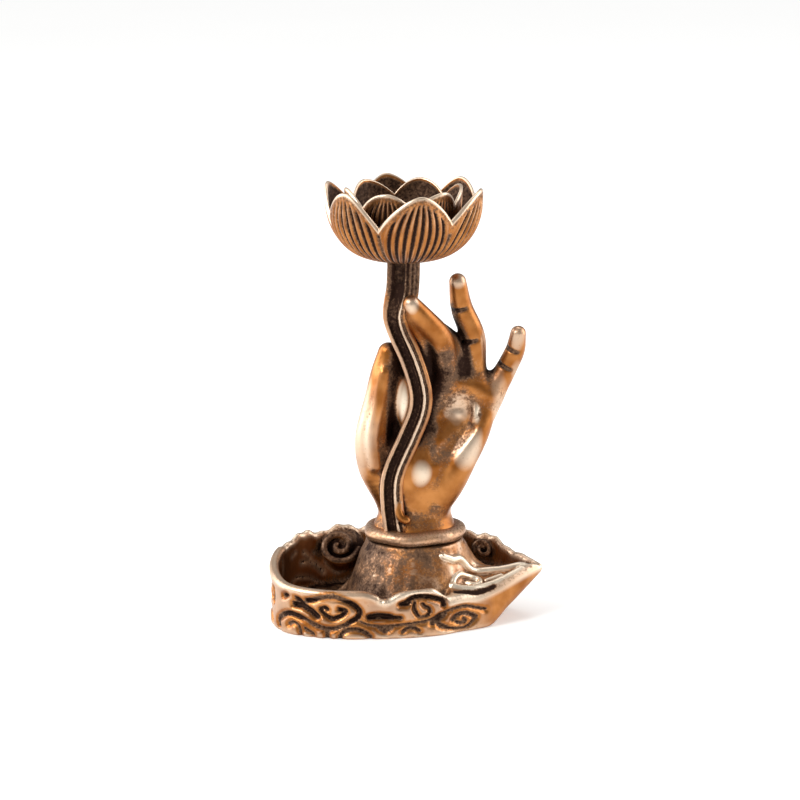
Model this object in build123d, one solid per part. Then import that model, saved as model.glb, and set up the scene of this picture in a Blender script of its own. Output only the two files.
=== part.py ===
from build123d import *
import os
from math import cos, exp, hypot, pi, radians, sin

# Cast brass incense stick holder: a raised hand on a cloud-shaped ash dish holds a lotus
# by its stalk, and the stick stands in a socket in the middle of the flower.
# Millimetres, +Z up, +X to the dish's pointed tip, -Y to the side that the palm faces.
# The origin is on the table, under the middle of the whole outline.

# Ash dish, plan
DISH_LEFT = 19.75  # reach of the round end from the middle of the dish
DISH_RIGHT = 19.75  # reach of the pointed tip
DISH_FRONT = 12.3
DISH_BACK = 11.5
DISH_WALL = 1.6
TIP_Y = 0.5  # how far behind that middle the tip stands
TIP_SLOPE = 0.8  # of each side where they meet at the tip

# Ash dish, heights above the table
POOL_FLOOR = 2.2
FRONT_RIM = 7.0
BACK_RIM = 11.0
RIM_DIP = 1.2  # the front rim's dip between two cloud curls
RIM_DIP_X = -3.3
RIM_DIP_WIDTH = 1.8
TIP_HEIGHT = 7.6
SHELF_HEIGHT = 6.0  # the shallow end beside the ridge
MOUND_HEIGHT = 11.6  # the seat that the hand stands on
MOUND_RADIUS = 6.6
MOUND_SLOPE = 2.6  # how far the mound's foot spreads
SEAT_RADIUS = 6.9  # of the raised pad under the collar
SEAT_STEP = 0.5  # how far the pad stands above the mound round it
RIDGE_WIDTH = 3.2  # of the ridge that runs from the mound to the tip
SHOULDER_START = 3.2  # where the front rim begins to fall to the low shoulder at the pointed end
SHOULDER_RUN = 3.0  # how far it takes to fall
SHOULDER_RIM = 5.0
SHOULDER_SLOPE = 0.29  # rise of the shoulder from its edge towards the ridge
RIM_WAVE = 0.4  # height of the cloud lobes along the back rim
RIM_WAVE_LENGTH = 5.6
SCROLL_DEPTH = 0.7  # of the hollows between the scrolls on the wall
CURL_RADIUS = 2.9  # of the cloud curl on the back wall, inside
CURL_BEAD = 0.6
PROW_START = 11.3  # where the underside begins to rise to the tip
PROW_RISE = 6.2

# Hollows between the scrolls, as drawn on the front wall and again, mirrored, on the back wall:
# x as a share of the dish's reach, height as a share of the rim's
HOLLOWS = [
    [(-0.715, 0.74), (-0.63, 0.88), (-0.54, 0.91), (-0.455, 0.86), (-0.365, 0.69), (-0.33, 0.53), (-0.355, 0.39),
     (-0.385, 0.53), (-0.43, 0.65), (-0.49, 0.75), (-0.545, 0.79), (-0.635, 0.75)],
    [(-0.405, 0.37), (-0.48, 0.28), (-0.55, 0.225), (-0.61, 0.22), (-0.68, 0.28), (-0.76, 0.39), (-0.86, 0.45),
     (-0.92, 0.35), (-0.935, 0.2), (-0.895, 0.22), (-0.86, 0.33), (-0.78, 0.29), (-0.7, 0.18), (-0.625, 0.11),
     (-0.535, 0.1), (-0.45, 0.19)],
    [(-0.63, 0.61), (-0.54, 0.66), (-0.435, 0.58), (-0.465, 0.5), (-0.535, 0.41), (-0.6, 0.47)],
    [(-0.835, 0.6), (-0.79, 0.8), (-0.765, 0.68), (-0.71, 0.57), (-0.655, 0.46), (-0.735, 0.5)],
    [(-0.495, 0.06), (-0.465, 0.14), (-0.425, 0.2), (-0.375, 0.21), (-0.32, 0.17), (-0.27, 0.06), (-0.32, 0.08),
     (-0.38, 0.12), (-0.44, 0.1)],
    [(-0.295, 0.44), (-0.19, 0.56), (-0.045, 0.42), (-0.18, 0.36)],
    [(-0.265, 0.26), (-0.17, 0.1), (-0.07, 0.24), (-0.17, 0.25)],
    [(-0.05, 0.68), (0.025, 0.84), (0.085, 0.87), (0.16, 0.84), (0.275, 0.71), (0.265, 0.6), (0.19, 0.73),
     (0.1, 0.76), (0.03, 0.7)],
    [(0.145, 0.28), (0.21, 0.4), (0.285, 0.46), (0.255, 0.33), (0.24, 0.27), (0.28, 0.14), (0.225, 0.15)],
    [(0.32, 0.27), (0.385, 0.4), (0.5, 0.28), (0.46, 0.14), (0.45, 0.26), (0.385, 0.3), (0.345, 0.2)],
    [(-0.04, 0.11), (0.02, 0.2), (0.085, 0.13), (0.02, 0.07)],
]

# Folds that run down from the mound: start and end as shares of the dish's reach, half width, height
FOLDS = [
    ((-0.17, -0.46), (-0.23, -0.75), 1.0, 1.3),
    ((-0.33, 0.13), (-0.54, 0.18), 1.1, 1.4),
    ((0.33, 0.04), (0.82, 0.04), 1.0, 0.7),
    ((0.36, -0.46), (0.72, -0.24), 0.9, 0.6),
]

# Where the hand stands on the dish
HAND_X = 0.95
HAND_Y = 1.0

# The flower reaches further forward than the dish, so everything is moved back by this
MIDDLE_SHIFT = 1.45

# Collar round the wrist
COLLAR_RADIUS = 7.45
COLLAR_HEIGHT = 2.1
COLLAR_BORE = 4.05
SPIGOT_CLEARANCE = 0.05  # wrist spigot to collar bore, and to the mound under it

# Screw that pulls the hand down on the dish
SCREW_RADIUS = 1.5
SCREW_GRIP = 6.0  # thread in the wrist
SCREW_HEAD_RADIUS = 2.8
SCREW_HEAD_HEIGHT = 2.0
SCREW_SLOT_WIDTH = 0.7
SCREW_SLOT_DEPTH = 0.9
SCREW_CLEARANCE = 0.15
THREAD_CLEARANCE = 0.03
HEAD_SUNK = 0.8  # from the table to the underside of the screw's head
RECESS_CLEARANCE = 0.3

# Lotus stalk
STALK_WIDTH = 3.2
STALK_DEPTH = 2.2
STALK_GROOVE = 0.75  # depth of the channel down its front
STALK_HEAD_WIDTH = 4.7  # where it spreads under the flower
STALK_HEAD_DEPTH = 4.5

# Flower: an outer and an inner whorl of petals
PETALS = 6
OUTER_RADIUS = 11.0
OUTER_HEIGHT = 10.3
OUTER_WALL = 0.95
OUTER_FLOOR = 1.2
OUTER_TURN = 40.0  # degrees from +X to one outer petal
OUTER_NOTCH = 5.6  # how far the gap between two petals comes down
INNER_RADIUS = 8.0
INNER_HEIGHT = 9.0
INNER_WALL = 0.85
INNER_FLOOR = 1.0
INNER_NOTCH = 2.4
BOWL_SHARE = 0.8  # how far up the petals go on curving outwards
PETAL_CUP = 0.045  # how far each petal bulges, as a share of the radius
SEAT_CLEARANCE = 0.2  # sideways, between a whorl's foot and the seat it stands in

# Socket for the stick
STICK_BORE = 1.2  # radius
STICK_DEPTH = 6.5
SOCKET_RADIUS = 1.6  # of the spigot
SOCKET_BOTTOM = 0.8
SOCKET_CLEARANCE = 0.03
POD_RADIUS = 2.9
POD_HEIGHT = 2.0
POD_CHAMFER = 0.5

# The hand's centre lines, measured from the middle of the collar's top face.
# Each finger runs root, middle knuckle, end knuckle, tip, with a radius at each.
# The thumb has two more points, at the heel of the hand and in the ball of the thumb.
THUMB = [
    (-2.9, -0.8, 4.0),
    (-5.1, -1.5, 8.8),
    (-5.95, -2.2, 13.3),
    (-5.0, -2.6, 18.5),
    (-4.2, -2.8, 22.8),
    (-3.55, -2.9, 26.2),
]
THUMB_RADII = [2.3, 2.95, 2.5, 2.2, 1.95, 1.45]
INDEX = [(4.4, -0.7, 18.4), (3.9, -3.9, 27.6), (1.45, -5.7, 31.0), (-0.6, -6.5, 33.8)]
INDEX_RADII = [1.75, 1.7, 1.5, 1.15]
MIDDLE = [(6.35, -0.7, 19.8), (4.95, -1.8, 26.9), (2.05, -3.2, 29.7), (0.25, -4.0, 31.9)]
MIDDLE_RADII = [1.75, 1.6, 1.4, 1.1]
RING = [(8.75, -0.4, 19.5), (8.35, -1.0, 27.4), (6.65, -1.8, 32.1), (6.05, -2.8, 36.2)]
RING_RADII = [1.75, 1.58, 1.35, 1.15]
LITTLE = [(9.9, -0.2, 16.8), (13.3, -0.5, 23.2), (14.4, -1.0, 25.8), (14.8, -1.5, 28.5)]
LITTLE_RADII = [1.9, 1.55, 1.3, 1.0]

# Palm cross-sections: height, middle x and y, half width, half depth
PALM = [
    (0.0, 0.05, 0.0, 5.3, 4.4),
    (2.3, 0.1, 0.0, 5.3, 4.25),
    (5.3, 0.6, 0.0, 6.6, 4.5),
    (8.3, 1.2, -0.1, 7.4, 4.5),
    (11.3, 2.7, -0.2, 7.2, 4.3),
    (14.3, 3.75, -0.3, 7.15, 3.6),
    (17.3, 4.25, -0.35, 7.6, 3.0),
    (20.3, 5.0, -0.4, 7.6, 2.5),
    (22.0, 6.0, -0.4, 5.9, 2.2),
]

# Roll along the little finger's side of the palm, then middle and half sizes of the ball of the thumb
# and of what is scooped out between them
HEEL = [(2.6, -1.2, 3.2), (4.6, -2.1, 6.8), (6.5, -2.15, 10.3), (8.2, -1.75, 13.8)]
HEEL_RADII = [2.3, 2.6, 2.5, 2.1]
THUMB_BALL = ((-0.3, -2.7, 8.6), (3.6, 2.6, 4.8))
PALM_HOLLOW = ((5.7, -6.2, 16.8), (3.3, 3.8, 3.7))

# Stalk centre line from its foot on the collar to the flower
STALK = [
    (-2.65, -4.2, 0.0),
    (-3.15, -4.4, 3.8),
    (-3.15, -4.7, 7.7),
    (-0.75, -4.5, 13.6),
    (1.05, -4.6, 18.8),
    (-0.45, -4.9, 25.3),
    (-2.65, -4.7, 31.2),
    (-1.8, -4.5, 34.3),
    (-1.6, -4.3, 36.8),
    (-1.55, -4.2, 39.3),
]

HEAD_SEAT = HEAD_SUNK + SCREW_HEAD_HEIGHT
COLLAR_TOP = MOUND_HEIGHT + COLLAR_HEIGHT
STALK_TOP = COLLAR_TOP + STALK[-1][2]
FLOWER_X = HAND_X + STALK[-1][0]
FLOWER_Y = HAND_Y + STALK[-1][1]


def smooth_step(t):
    """0 below 0, 1 above 1, with an even slope between."""
    t = min(1.0, max(0.0, t))
    return t * t * (3 - 2 * t)


def placed(shape):
    """Moves a shape of the hand from the collar's top face to its place on the dish."""
    return Pos(HAND_X, HAND_Y, COLLAR_TOP) * shape


# Ash dish


def reach(share):
    """Place in the dish's plan from shares of its reach each way."""
    u, v = share
    return (u * (DISH_RIGHT if u > 0 else DISH_LEFT), v * (DISH_BACK if v > 0 else DISH_FRONT))


def dish_outline(inset=0.0):
    """Plan of the dish: a round cloud end on the left, drawn out to a point on the right."""
    front = [(0.74, -0.33), (0.52, -0.57), (0.2, -0.87), (-0.2, -1.0), (-0.61, -0.97), (-0.88, -0.74)]
    back = [(-0.94, 0.3), (-0.71, 0.72), (-0.3, 0.97), (0.15, 1.0), (0.51, 0.76), (0.76, 0.43)]
    left_y = -0.2 * DISH_FRONT
    front_ways = [(-1, -TIP_SLOPE), (0, 1)]
    back_ways = [(0, 1), (1, -TIP_SLOPE)]

    def moved_in(edge, share):
        way = edge.tangent_at(share)
        return edge.position_at(share) + Vector(way.Y, -way.X) * inset

    tip = (DISH_RIGHT, TIP_Y)
    left = (-DISH_LEFT, left_y)
    front_edge = Spline([tip, *map(reach, front), left], tangents=front_ways)
    back_edge = Spline([left, *map(reach, back), tip], tangents=back_ways)
    if inset:
        tip = (DISH_RIGHT - inset * hypot(1, TIP_SLOPE) / TIP_SLOPE, TIP_Y)
        left = (inset - DISH_LEFT, left_y)
        shares = [0.2, 0.3, 0.4, 0.5, 0.6, 0.7, 0.8, 0.9]
        front = [moved_in(front_edge, share) for share in shares]
        back = [moved_in(back_edge, 1 - share) for share in reversed(shares)]
        front_edge = Spline([tip, *front, left], tangents=front_ways)
        back_edge = Spline([left, *back, tip], tangents=back_ways)
    return make_face([front_edge, back_edge])


def rim_height(x, y):
    """Height of the wall's top edge: low in front, high behind, lower at the tip."""
    back_share = smooth_step((y + DISH_FRONT) / (DISH_FRONT + DISH_BACK))
    height = FRONT_RIM + (BACK_RIM - FRONT_RIM) * back_share
    middle_height = (FRONT_RIM + BACK_RIM) / 2
    height -= (middle_height - TIP_HEIGHT) * smooth_step((x - 0.4 * DISH_RIGHT) / (0.6 * DISH_RIGHT))
    dip = RIM_DIP * exp(-(((x - RIM_DIP_X) / RIM_DIP_WIDTH) ** 2))
    height -= dip * (1 - smooth_step((y + DISH_FRONT) / DISH_FRONT))
    height += RIM_WAVE * sin(2 * pi * x / RIM_WAVE_LENGTH) * smooth_step(2 * y / DISH_BACK)
    return height + (shoulder_height(x, y) - height) * on_shoulder(x, y)


def on_shoulder(x, y):
    """1 in front on the pointed side, where the wall is low and runs into the floor."""
    return smooth_step((x - SHOULDER_START) / SHOULDER_RUN) * smooth_step((TIP_Y + 0.7 - y) / 1.6)


def shoulder_height(x, y):
    """Height of the low shoulder: its edge climbs to the tip, and it rises inwards from there."""
    edge = SHOULDER_RIM + (TIP_HEIGHT - SHOULDER_RIM) * smooth_step((x / DISH_RIGHT - 0.46) / 0.54)
    front_y = TIP_Y - (TIP_Y + DISH_FRONT) * (1 - x / DISH_RIGHT) * 1.05
    return edge + SHOULDER_SLOPE * max(0.0, y - front_y)


def fold_height(x, y):
    """Height that the folds add at one place."""
    total = 0.0
    for start, end, width, height in FOLDS:
        ax, ay = reach(start)
        bx, by = reach(end)
        share = ((x - ax) * (bx - ax) + (y - ay) * (by - ay)) / ((bx - ax) ** 2 + (by - ay) ** 2)
        share = min(1.0, max(0.0, share))
        away = hypot(x - ax - share * (bx - ax), y - ay - share * (by - ay))
        total += height * exp(-((away / width) ** 2))
    return total


def floor_height(x, y):
    """Height of the dish's inside: a pool, a mound under the hand and a ridge to the tip."""
    dx = x - HAND_X
    dy = y - HAND_Y
    run = hypot(dx, dy if dy < 0 else 0.85 * dy) - MOUND_RADIUS
    mound_top = MOUND_HEIGHT - SEAT_STEP
    mound = (mound_top - POOL_FLOOR) * exp(-((max(run, 0.0) / MOUND_SLOPE) ** 2))
    along = smooth_step(dx / (DISH_RIGHT - HAND_X))
    crest = mound_top + (SHELF_HEIGHT - mound_top) * along - POOL_FLOOR
    start = smooth_step(dx / MOUND_RADIUS)
    ridge = crest * start * exp(-(((y - TIP_Y) / RIDGE_WIDTH) ** 2))
    shelf = (SHELF_HEIGHT - POOL_FLOOR) * smooth_step((dx - 0.4 * MOUND_RADIUS) / MOUND_RADIUS)
    shelf *= 1 - on_shoulder(x, y)
    height = POOL_FLOOR + (mound**4 + ridge**4 + shelf**4) ** 0.25
    shoulder = shoulder_height(x, y) * on_shoulder(x, y)
    height = (height**10 + shoulder**10) ** 0.1
    return min(mound_top, height + fold_height(x, y))


def above(height_at, cells_x=34, cells_y=24):
    """Solid of everything above a height that varies over the dish's plan."""
    reach_x = DISH_LEFT + DISH_RIGHT
    reach_y = DISH_FRONT + DISH_BACK
    grid = []
    for i in range(cells_x + 1):
        x = -DISH_LEFT + reach_x * (1.1 * i / cells_x - 0.05)
        row = [(x, -DISH_FRONT + reach_y * (1.1 * j / cells_y - 0.05)) for j in range(cells_y + 1)]
        grid.append([(px, py, height_at(px, py)) for px, py in row])
    surface = Face.make_surface_from_array_of_points(grid, tol=0.1)
    return Solid.extrude(surface, Vector(0, 0, MOUND_HEIGHT + BACK_RIM))


def scroll_hollows(tall):
    """What is cut out of the wall between the scrolls, to an even depth all round."""
    skin = extrude(dish_outline(), tall).cut(extrude(dish_outline(SCROLL_DEPTH), tall))
    cut = []
    for shares in HOLLOWS:
        for way, rim in ((-1, FRONT_RIM), (1, BACK_RIM)):
            outline = [(reach((u, 0))[0], height * rim) for u, height in shares]
            face = Plane.XZ * make_face(Spline(outline, periodic=True))
            cut += skin.intersect(extrude(face, DISH_FRONT + DISH_BACK, dir=(0, way, 0))).solids()
    return cut


def cloud_curl(tall):
    """Curl rolled in on itself, on a swelling of the back wall."""
    middle = Vector(-0.51 * DISH_LEFT, DISH_BACK - 2.6 * DISH_WALL, 0.77 * BACK_RIM)
    across = Vector(1, 0.12, 0)
    up = Vector(0, 0.4, 0.8)
    points = []
    for i in range(13):
        t = i / 12
        lift = radians(-15 - 600 * t)
        points.append(middle + (across * cos(lift) + up * sin(lift)) * CURL_RADIUS * (1 - 0.8 * t))
    behind = middle + Vector(0, 1.3 * DISH_WALL, -0.3 * CURL_RADIUS)
    swelling = pad(behind, (1.25 * CURL_RADIUS, 1.2 * DISH_WALL, 1.1 * CURL_RADIUS))
    inside = extrude(dish_outline(DISH_WALL / 2), tall)
    return [*inside.intersect(swelling).solids(), limb(points, [CURL_BEAD] * len(points), 3)]


def cloud_dish():
    """Wall and floor, each cut to its own heights, joined with the seam kept where the sides meet."""
    tall = MOUND_HEIGHT + BACK_RIM
    room = extrude(dish_outline(DISH_WALL), tall)
    wall = extrude(dish_outline(), tall).cut(room, above(rim_height))
    hand_axis = Pos(HAND_X, HAND_Y, 0)
    seat = hand_axis * Cylinder(SEAT_RADIUS, MOUND_HEIGHT, align=(Align.CENTER, Align.CENTER, Align.MIN))
    body = wall.fuse(room.cut(above(floor_height))).fuse(seat)
    prow = Polyline((PROW_START, 0), (DISH_RIGHT, PROW_RISE), (2 * DISH_RIGHT, PROW_RISE), (2 * DISH_RIGHT, 0), close=True)
    prow_cut = extrude(Plane.XZ * make_face(prow), DISH_FRONT + DISH_BACK, both=True)
    recess = Cylinder(SCREW_HEAD_RADIUS + RECESS_CLEARANCE, HEAD_SEAT, align=(Align.CENTER, Align.CENTER, Align.MIN))
    hole = Cylinder(SCREW_RADIUS + SCREW_CLEARANCE, MOUND_HEIGHT, align=(Align.CENTER, Align.CENTER, Align.MIN))
    for form in cloud_curl(tall):
        body = body.fuse(form)
    return body.cut(prow_cut, hand_axis * (recess + hole), *scroll_hollows(tall))


# Collar and screw


def wrist_collar():
    """Ring under the wrist, rounded outside, flat where the dish and the wrist bear on it."""
    bulge = COLLAR_HEIGHT / 2
    land = COLLAR_RADIUS - bulge
    section = [
        Line((COLLAR_BORE, 0), (land, 0)),
        ThreePointArc((land, 0), (COLLAR_RADIUS, bulge), (land, COLLAR_HEIGHT)),
        Line((land, COLLAR_HEIGHT), (COLLAR_BORE, COLLAR_HEIGHT)),
        Line((COLLAR_BORE, COLLAR_HEIGHT), (COLLAR_BORE, 0)),
    ]
    ring = revolve(Plane.XZ * make_face(section), Axis.Z)
    return Pos(HAND_X, HAND_Y, MOUND_HEIGHT) * ring


def hand_screw():
    """Slotted pan-head screw, head down in the dish's recess."""
    shank_length = COLLAR_TOP + SCREW_GRIP - HEAD_SEAT
    shank = Cylinder(SCREW_RADIUS, shank_length, align=(Align.CENTER, Align.CENTER, Align.MIN))
    head = Cylinder(SCREW_HEAD_RADIUS, SCREW_HEAD_HEIGHT, align=(Align.CENTER, Align.CENTER, Align.MAX))
    slot = Pos(0, 0, -SCREW_HEAD_HEIGHT) * Box(
        2 * SCREW_HEAD_RADIUS, SCREW_SLOT_WIDTH, SCREW_SLOT_DEPTH, align=(Align.CENTER, Align.CENTER, Align.MIN)
    )
    return Pos(HAND_X, HAND_Y, HEAD_SEAT) * (shank + head - slot)


# Hand


def limb(points, radii, stations=4):
    """Finger lofted through circles along its centre line, with a rounded tip."""
    path = Spline(points)
    knots = [path.param_at_point(p) for p in points]
    sections = []
    for (a, b), (ra, rb) in zip(zip(knots, knots[1:]), zip(radii, radii[1:])):
        for i in range(stations):
            t = i / stations
            sections.append((path.position_at(a + (b - a) * t), path.tangent_at(a + (b - a) * t), ra + (rb - ra) * t))
    tip = path.position_at(1)
    tip_way = path.tangent_at(1)
    for turn in (0, 30, 55, 75):
        reach = radii[-1] * sin(radians(turn))
        sections.append((tip + tip_way * reach, tip_way, radii[-1] * cos(radians(turn))))
    rings = []
    for place, way, radius in sections:
        rings.append(Plane(place, x_dir=Vector(0, 1, 0).cross(way), z_dir=way) * Circle(radius))
    return loft(rings)


def pad(middle, half_sizes):
    """Ellipsoid of the given half sizes."""
    return Pos(*middle) * scale(Sphere(1), by=half_sizes)


def palm_form():
    """Wrist and palm lofted through ellipses, with the palm's swellings, on a spigot that the collar goes round."""
    rings = [Pos(x, y, height) * Ellipse(half_width, half_depth) for height, x, y, half_width, half_depth in PALM]
    spigot_length = COLLAR_HEIGHT - SPIGOT_CLEARANCE
    spigot = Cylinder(COLLAR_BORE - SPIGOT_CLEARANCE, spigot_length, align=(Align.CENTER, Align.CENTER, Align.MAX))
    thread = Pos(0, 0, -spigot_length) * Cylinder(
        SCREW_RADIUS + THREAD_CLEARANCE,
        spigot_length + SCREW_GRIP + SCREW_RADIUS,
        align=(Align.CENTER, Align.CENTER, Align.MIN),
    )
    body = loft(rings) + limb(HEEL, HEEL_RADII) + pad(*THUMB_BALL) - pad(*PALM_HOLLOW)
    return body + spigot - thread


def stalk_form():
    """Channelled stalk: two raised edges with a groove between them down the front."""
    path = Spline(STALK, tangents=[(0, 0, 1), (0, 0, 1)])
    stations = 24
    corners = 16
    sections = []
    for i in range(stations + 1):
        t = i / stations
        spread = smooth_step((t - 0.76) / 0.12)
        half_width = (STALK_WIDTH + (STALK_HEAD_WIDTH - STALK_WIDTH) * spread) / 2
        half_depth = (STALK_DEPTH + (STALK_HEAD_DEPTH - STALK_DEPTH) * spread) / 2
        way = Vector(0, 0, 1) if i in (0, stations) else path.tangent_at(t)
        outline = []
        for k in range(corners):
            turn = 2 * pi * k / corners
            x = half_width * cos(turn)
            y = half_depth * sin(turn)
            groove = STALK_GROOVE * exp(-((2.2 * x / half_width) ** 2)) * (1 - spread)
            outline.append((x, y + groove if y < 0 else y))
        face = make_face(Spline(outline, periodic=True))
        sections.append(Plane(path.position_at(t), x_dir=Vector(0, 1, 0).cross(way), z_dir=way) * face)
    return loft(sections)


def hand_pieces():
    """Stalk, palm and fingers. Each finger is cut where it meets what it grows from or rests on."""
    stalk = stalk_form()
    palm = palm_form() - stalk
    pieces = {"palm": palm}
    fitted = [stalk, palm]
    limbs = {
        "thumb": (THUMB, THUMB_RADII),
        "index_finger": (INDEX, INDEX_RADII),
        "middle_finger": (MIDDLE, MIDDLE_RADII),
        "ring_finger": (RING, RING_RADII),
        "little_finger": (LITTLE, LITTLE_RADII),
    }
    for name, (points, radii) in limbs.items():
        piece = limb(points, radii)
        for other in fitted:
            piece -= other
        piece = max(piece.solids(), key=lambda solid: solid.volume)
        fitted.append(piece)
        pieces[name] = piece
    socket_hole = SOCKET_RADIUS + SOCKET_CLEARANCE
    sunk = STICK_DEPTH + SOCKET_BOTTOM - POD_HEIGHT - INNER_FLOOR - OUTER_FLOOR
    bore = Cylinder(socket_hole, sunk + SOCKET_CLEARANCE, align=(Align.CENTER, Align.CENTER, Align.MAX))
    pieces["lotus_stalk"] = stalk - Pos(*STALK[-1]) * bore
    return {name: placed(piece) for name, piece in pieces.items()}


# Flower


def lobed_face(radius, height, turn, cup):
    """Horizontal section of a whorl: a circle that bulges at each petal."""
    corners = 8 * PETALS
    points = []
    for k in range(corners):
        angle = 2 * pi * k / corners
        r = radius * (1 + cup * cos(PETALS * (angle - radians(turn))))
        points.append((r * cos(angle), r * sin(angle)))
    return Pos(0, 0, height) * make_face(Spline(points, periodic=True))


def petal_whorl(radius, height, wall, floor, turn, notch, foot, seat):
    """Bowl of petals on a foot: a lobed shell with a flat seat inside and a rim cut down between the petals."""
    outside = []
    inside = []
    for i in range(9):
        turn_up = i * pi / 16
        out = sin(turn_up) ** 0.85
        up = 1 - cos(turn_up)
        cup = PETAL_CUP * up
        outside.append(lobed_face(foot + (radius - foot) * out, BOWL_SHARE * height * up, turn, cup))
        room = BOWL_SHARE * height - floor
        inside.append(lobed_face(seat + (radius - wall - seat) * out, floor + room * up, turn, cup))
    outside.append(lobed_face(radius, height, turn, PETAL_CUP))
    inside.append(lobed_face(radius - wall, height, turn, PETAL_CUP))
    shell = loft(outside) - loft(inside)
    half_pitch = radius * sin(pi / PETALS)
    gap_floor = height - notch
    steep = (0.12 * half_pitch, height - 0.45 * notch)
    level = (0.5 * half_pitch, height)
    for k in range(PETALS):
        left, right = (-half_pitch, height), (half_pitch, height)
        edge = [
            Bezier((0, gap_floor), steep, level, right),
            Polyline(right, (half_pitch, height + notch), (-half_pitch, height + notch), left),
            Bezier(left, (-level[0], level[1]), (-steep[0], steep[1]), (0, gap_floor)),
        ]
        way = radians(turn + 360 / PETALS * (k + 0.5))
        outward = Plane((0, 0, 0), x_dir=(-sin(way), cos(way), 0), z_dir=(cos(way), sin(way), 0))
        shell -= extrude(outward * make_face(edge), 2 * radius)
    hole = Cylinder(SOCKET_RADIUS + SOCKET_CLEARANCE, 2 * floor)
    return shell - hole


def flower_pieces():
    outer_foot = STALK_HEAD_WIDTH / 2
    pod_seat = POD_RADIUS + SEAT_CLEARANCE
    inner_foot = pod_seat + INNER_WALL
    inner_seat = inner_foot + SEAT_CLEARANCE
    outer = petal_whorl(
        OUTER_RADIUS, OUTER_HEIGHT, OUTER_WALL, OUTER_FLOOR, OUTER_TURN, OUTER_NOTCH, outer_foot, inner_seat
    )
    inner_turn = OUTER_TURN + 180 / PETALS
    inner = petal_whorl(
        INNER_RADIUS, INNER_HEIGHT, INNER_WALL, INNER_FLOOR, inner_turn, INNER_NOTCH, inner_foot, pod_seat
    )
    outer = Pos(FLOWER_X, FLOWER_Y, STALK_TOP) * outer
    inner = Pos(FLOWER_X, FLOWER_Y, STALK_TOP + OUTER_FLOOR) * inner
    return {"outer_petals": outer, "inner_petals": inner, "stick_socket": stick_socket()}


def stick_socket():
    """Seed pod with the stick's hole; its spigot goes through both whorls into the stalk."""
    pod = Cylinder(POD_RADIUS, POD_HEIGHT, align=(Align.CENTER, Align.CENTER, Align.MIN))
    pod = chamfer(pod.edges().group_by(Axis.Z)[-1], POD_CHAMFER)
    below = STICK_DEPTH + SOCKET_BOTTOM - POD_HEIGHT
    spigot = Cylinder(SOCKET_RADIUS, below, align=(Align.CENTER, Align.CENTER, Align.MAX))
    bore = Pos(0, 0, POD_HEIGHT) * Cylinder(STICK_BORE, STICK_DEPTH, align=(Align.CENTER, Align.CENTER, Align.MAX))
    seat = STALK_TOP + OUTER_FLOOR + INNER_FLOOR
    return Pos(FLOWER_X, FLOWER_Y, seat) * (pod + spigot - bore)


def main():
    os.makedirs("parts", exist_ok=True)
    pieces = {
        "cloud_dish": cloud_dish(),
        "wrist_collar": wrist_collar(),
        "hand_screw": hand_screw(),
        **hand_pieces(),
        **flower_pieces(),
    }
    for name, piece in pieces.items():
        export_step(Pos(0, MIDDLE_SHIFT, 0) * piece, f"parts/{name}.step")


main()
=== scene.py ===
import itertools
import math

import bpy
import numpy as np
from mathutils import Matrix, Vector


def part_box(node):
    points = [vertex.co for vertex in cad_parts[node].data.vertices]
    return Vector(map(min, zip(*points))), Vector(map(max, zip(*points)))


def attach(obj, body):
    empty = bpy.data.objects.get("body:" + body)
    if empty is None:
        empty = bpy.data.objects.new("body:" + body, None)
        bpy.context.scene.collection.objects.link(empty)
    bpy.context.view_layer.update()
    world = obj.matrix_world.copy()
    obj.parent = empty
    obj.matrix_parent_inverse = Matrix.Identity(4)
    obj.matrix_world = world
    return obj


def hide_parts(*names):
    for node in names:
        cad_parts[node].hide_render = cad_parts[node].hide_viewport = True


# Incense stick holder of antiqued cast brass: a raised hand on a cloud-shaped ash dish
# holds a lotus by its stalk. Every shape below is worked out in millimetres, in the hand's,
# the flower's or the dish's own frame, and set down in the CAD model's frame in metres.

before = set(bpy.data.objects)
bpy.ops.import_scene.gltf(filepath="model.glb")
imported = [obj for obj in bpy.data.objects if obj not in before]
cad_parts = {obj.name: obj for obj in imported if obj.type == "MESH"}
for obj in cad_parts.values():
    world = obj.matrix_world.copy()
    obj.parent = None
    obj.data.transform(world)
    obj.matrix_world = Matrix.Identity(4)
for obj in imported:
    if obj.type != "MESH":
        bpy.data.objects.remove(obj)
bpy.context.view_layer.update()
MM = 0.001

collar_low, collar_high = (np.array(corner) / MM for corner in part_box("wrist_collar"))
flower_low = np.array(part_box("outer_petals")[0]) / MM
pod_low, pod_high = (np.array(corner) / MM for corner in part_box("stick_socket"))
HAND_ON_DISH = (0.95, 1.0)  # the hand's axis, from the middle of the dish's plan
HAND_FOOT = np.array([*(collar_low + collar_high)[:2] / 2, collar_high[2]])
FLOWER_FOOT = np.array([*(pod_low + pod_high)[:2] / 2, flower_low[2]])
DISH_MIDDLE = HAND_FOOT * (1, 1, 0) - (*HAND_ON_DISH, 0)


def smooth(t):
    """0 below 0, 1 above 1, with an even slope between."""
    t = np.clip(t, 0.0, 1.0)
    return t * t * (3 - 2 * t)


def through(points, per_span=8):
    """Smooth line through a few points; further columns, such as a radius, go along with it."""
    p = np.asarray(points, float)
    gaps = np.linalg.norm(np.diff(p[:, :3], axis=0), axis=1)[:, None]
    ways = np.diff(p, axis=0) / gaps
    turns = (ways[:-1] * gaps[1:] + ways[1:] * gaps[:-1]) / (gaps[1:] + gaps[:-1])
    turns = np.vstack([ways[:1], turns, ways[-1:]])
    t = np.linspace(0, 1, per_span, endpoint=False)[:, None]
    spans = []
    for a, b, gap, start, end in zip(p, p[1:], gaps, turns, turns[1:]):
        bow = start * t * (1 - t) ** 2 - end * t**2 * (1 - t)
        spans.append(a + (b - a) * smooth(t) + gap * bow)
    return np.vstack([*spans, p[-1:]])


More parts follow.
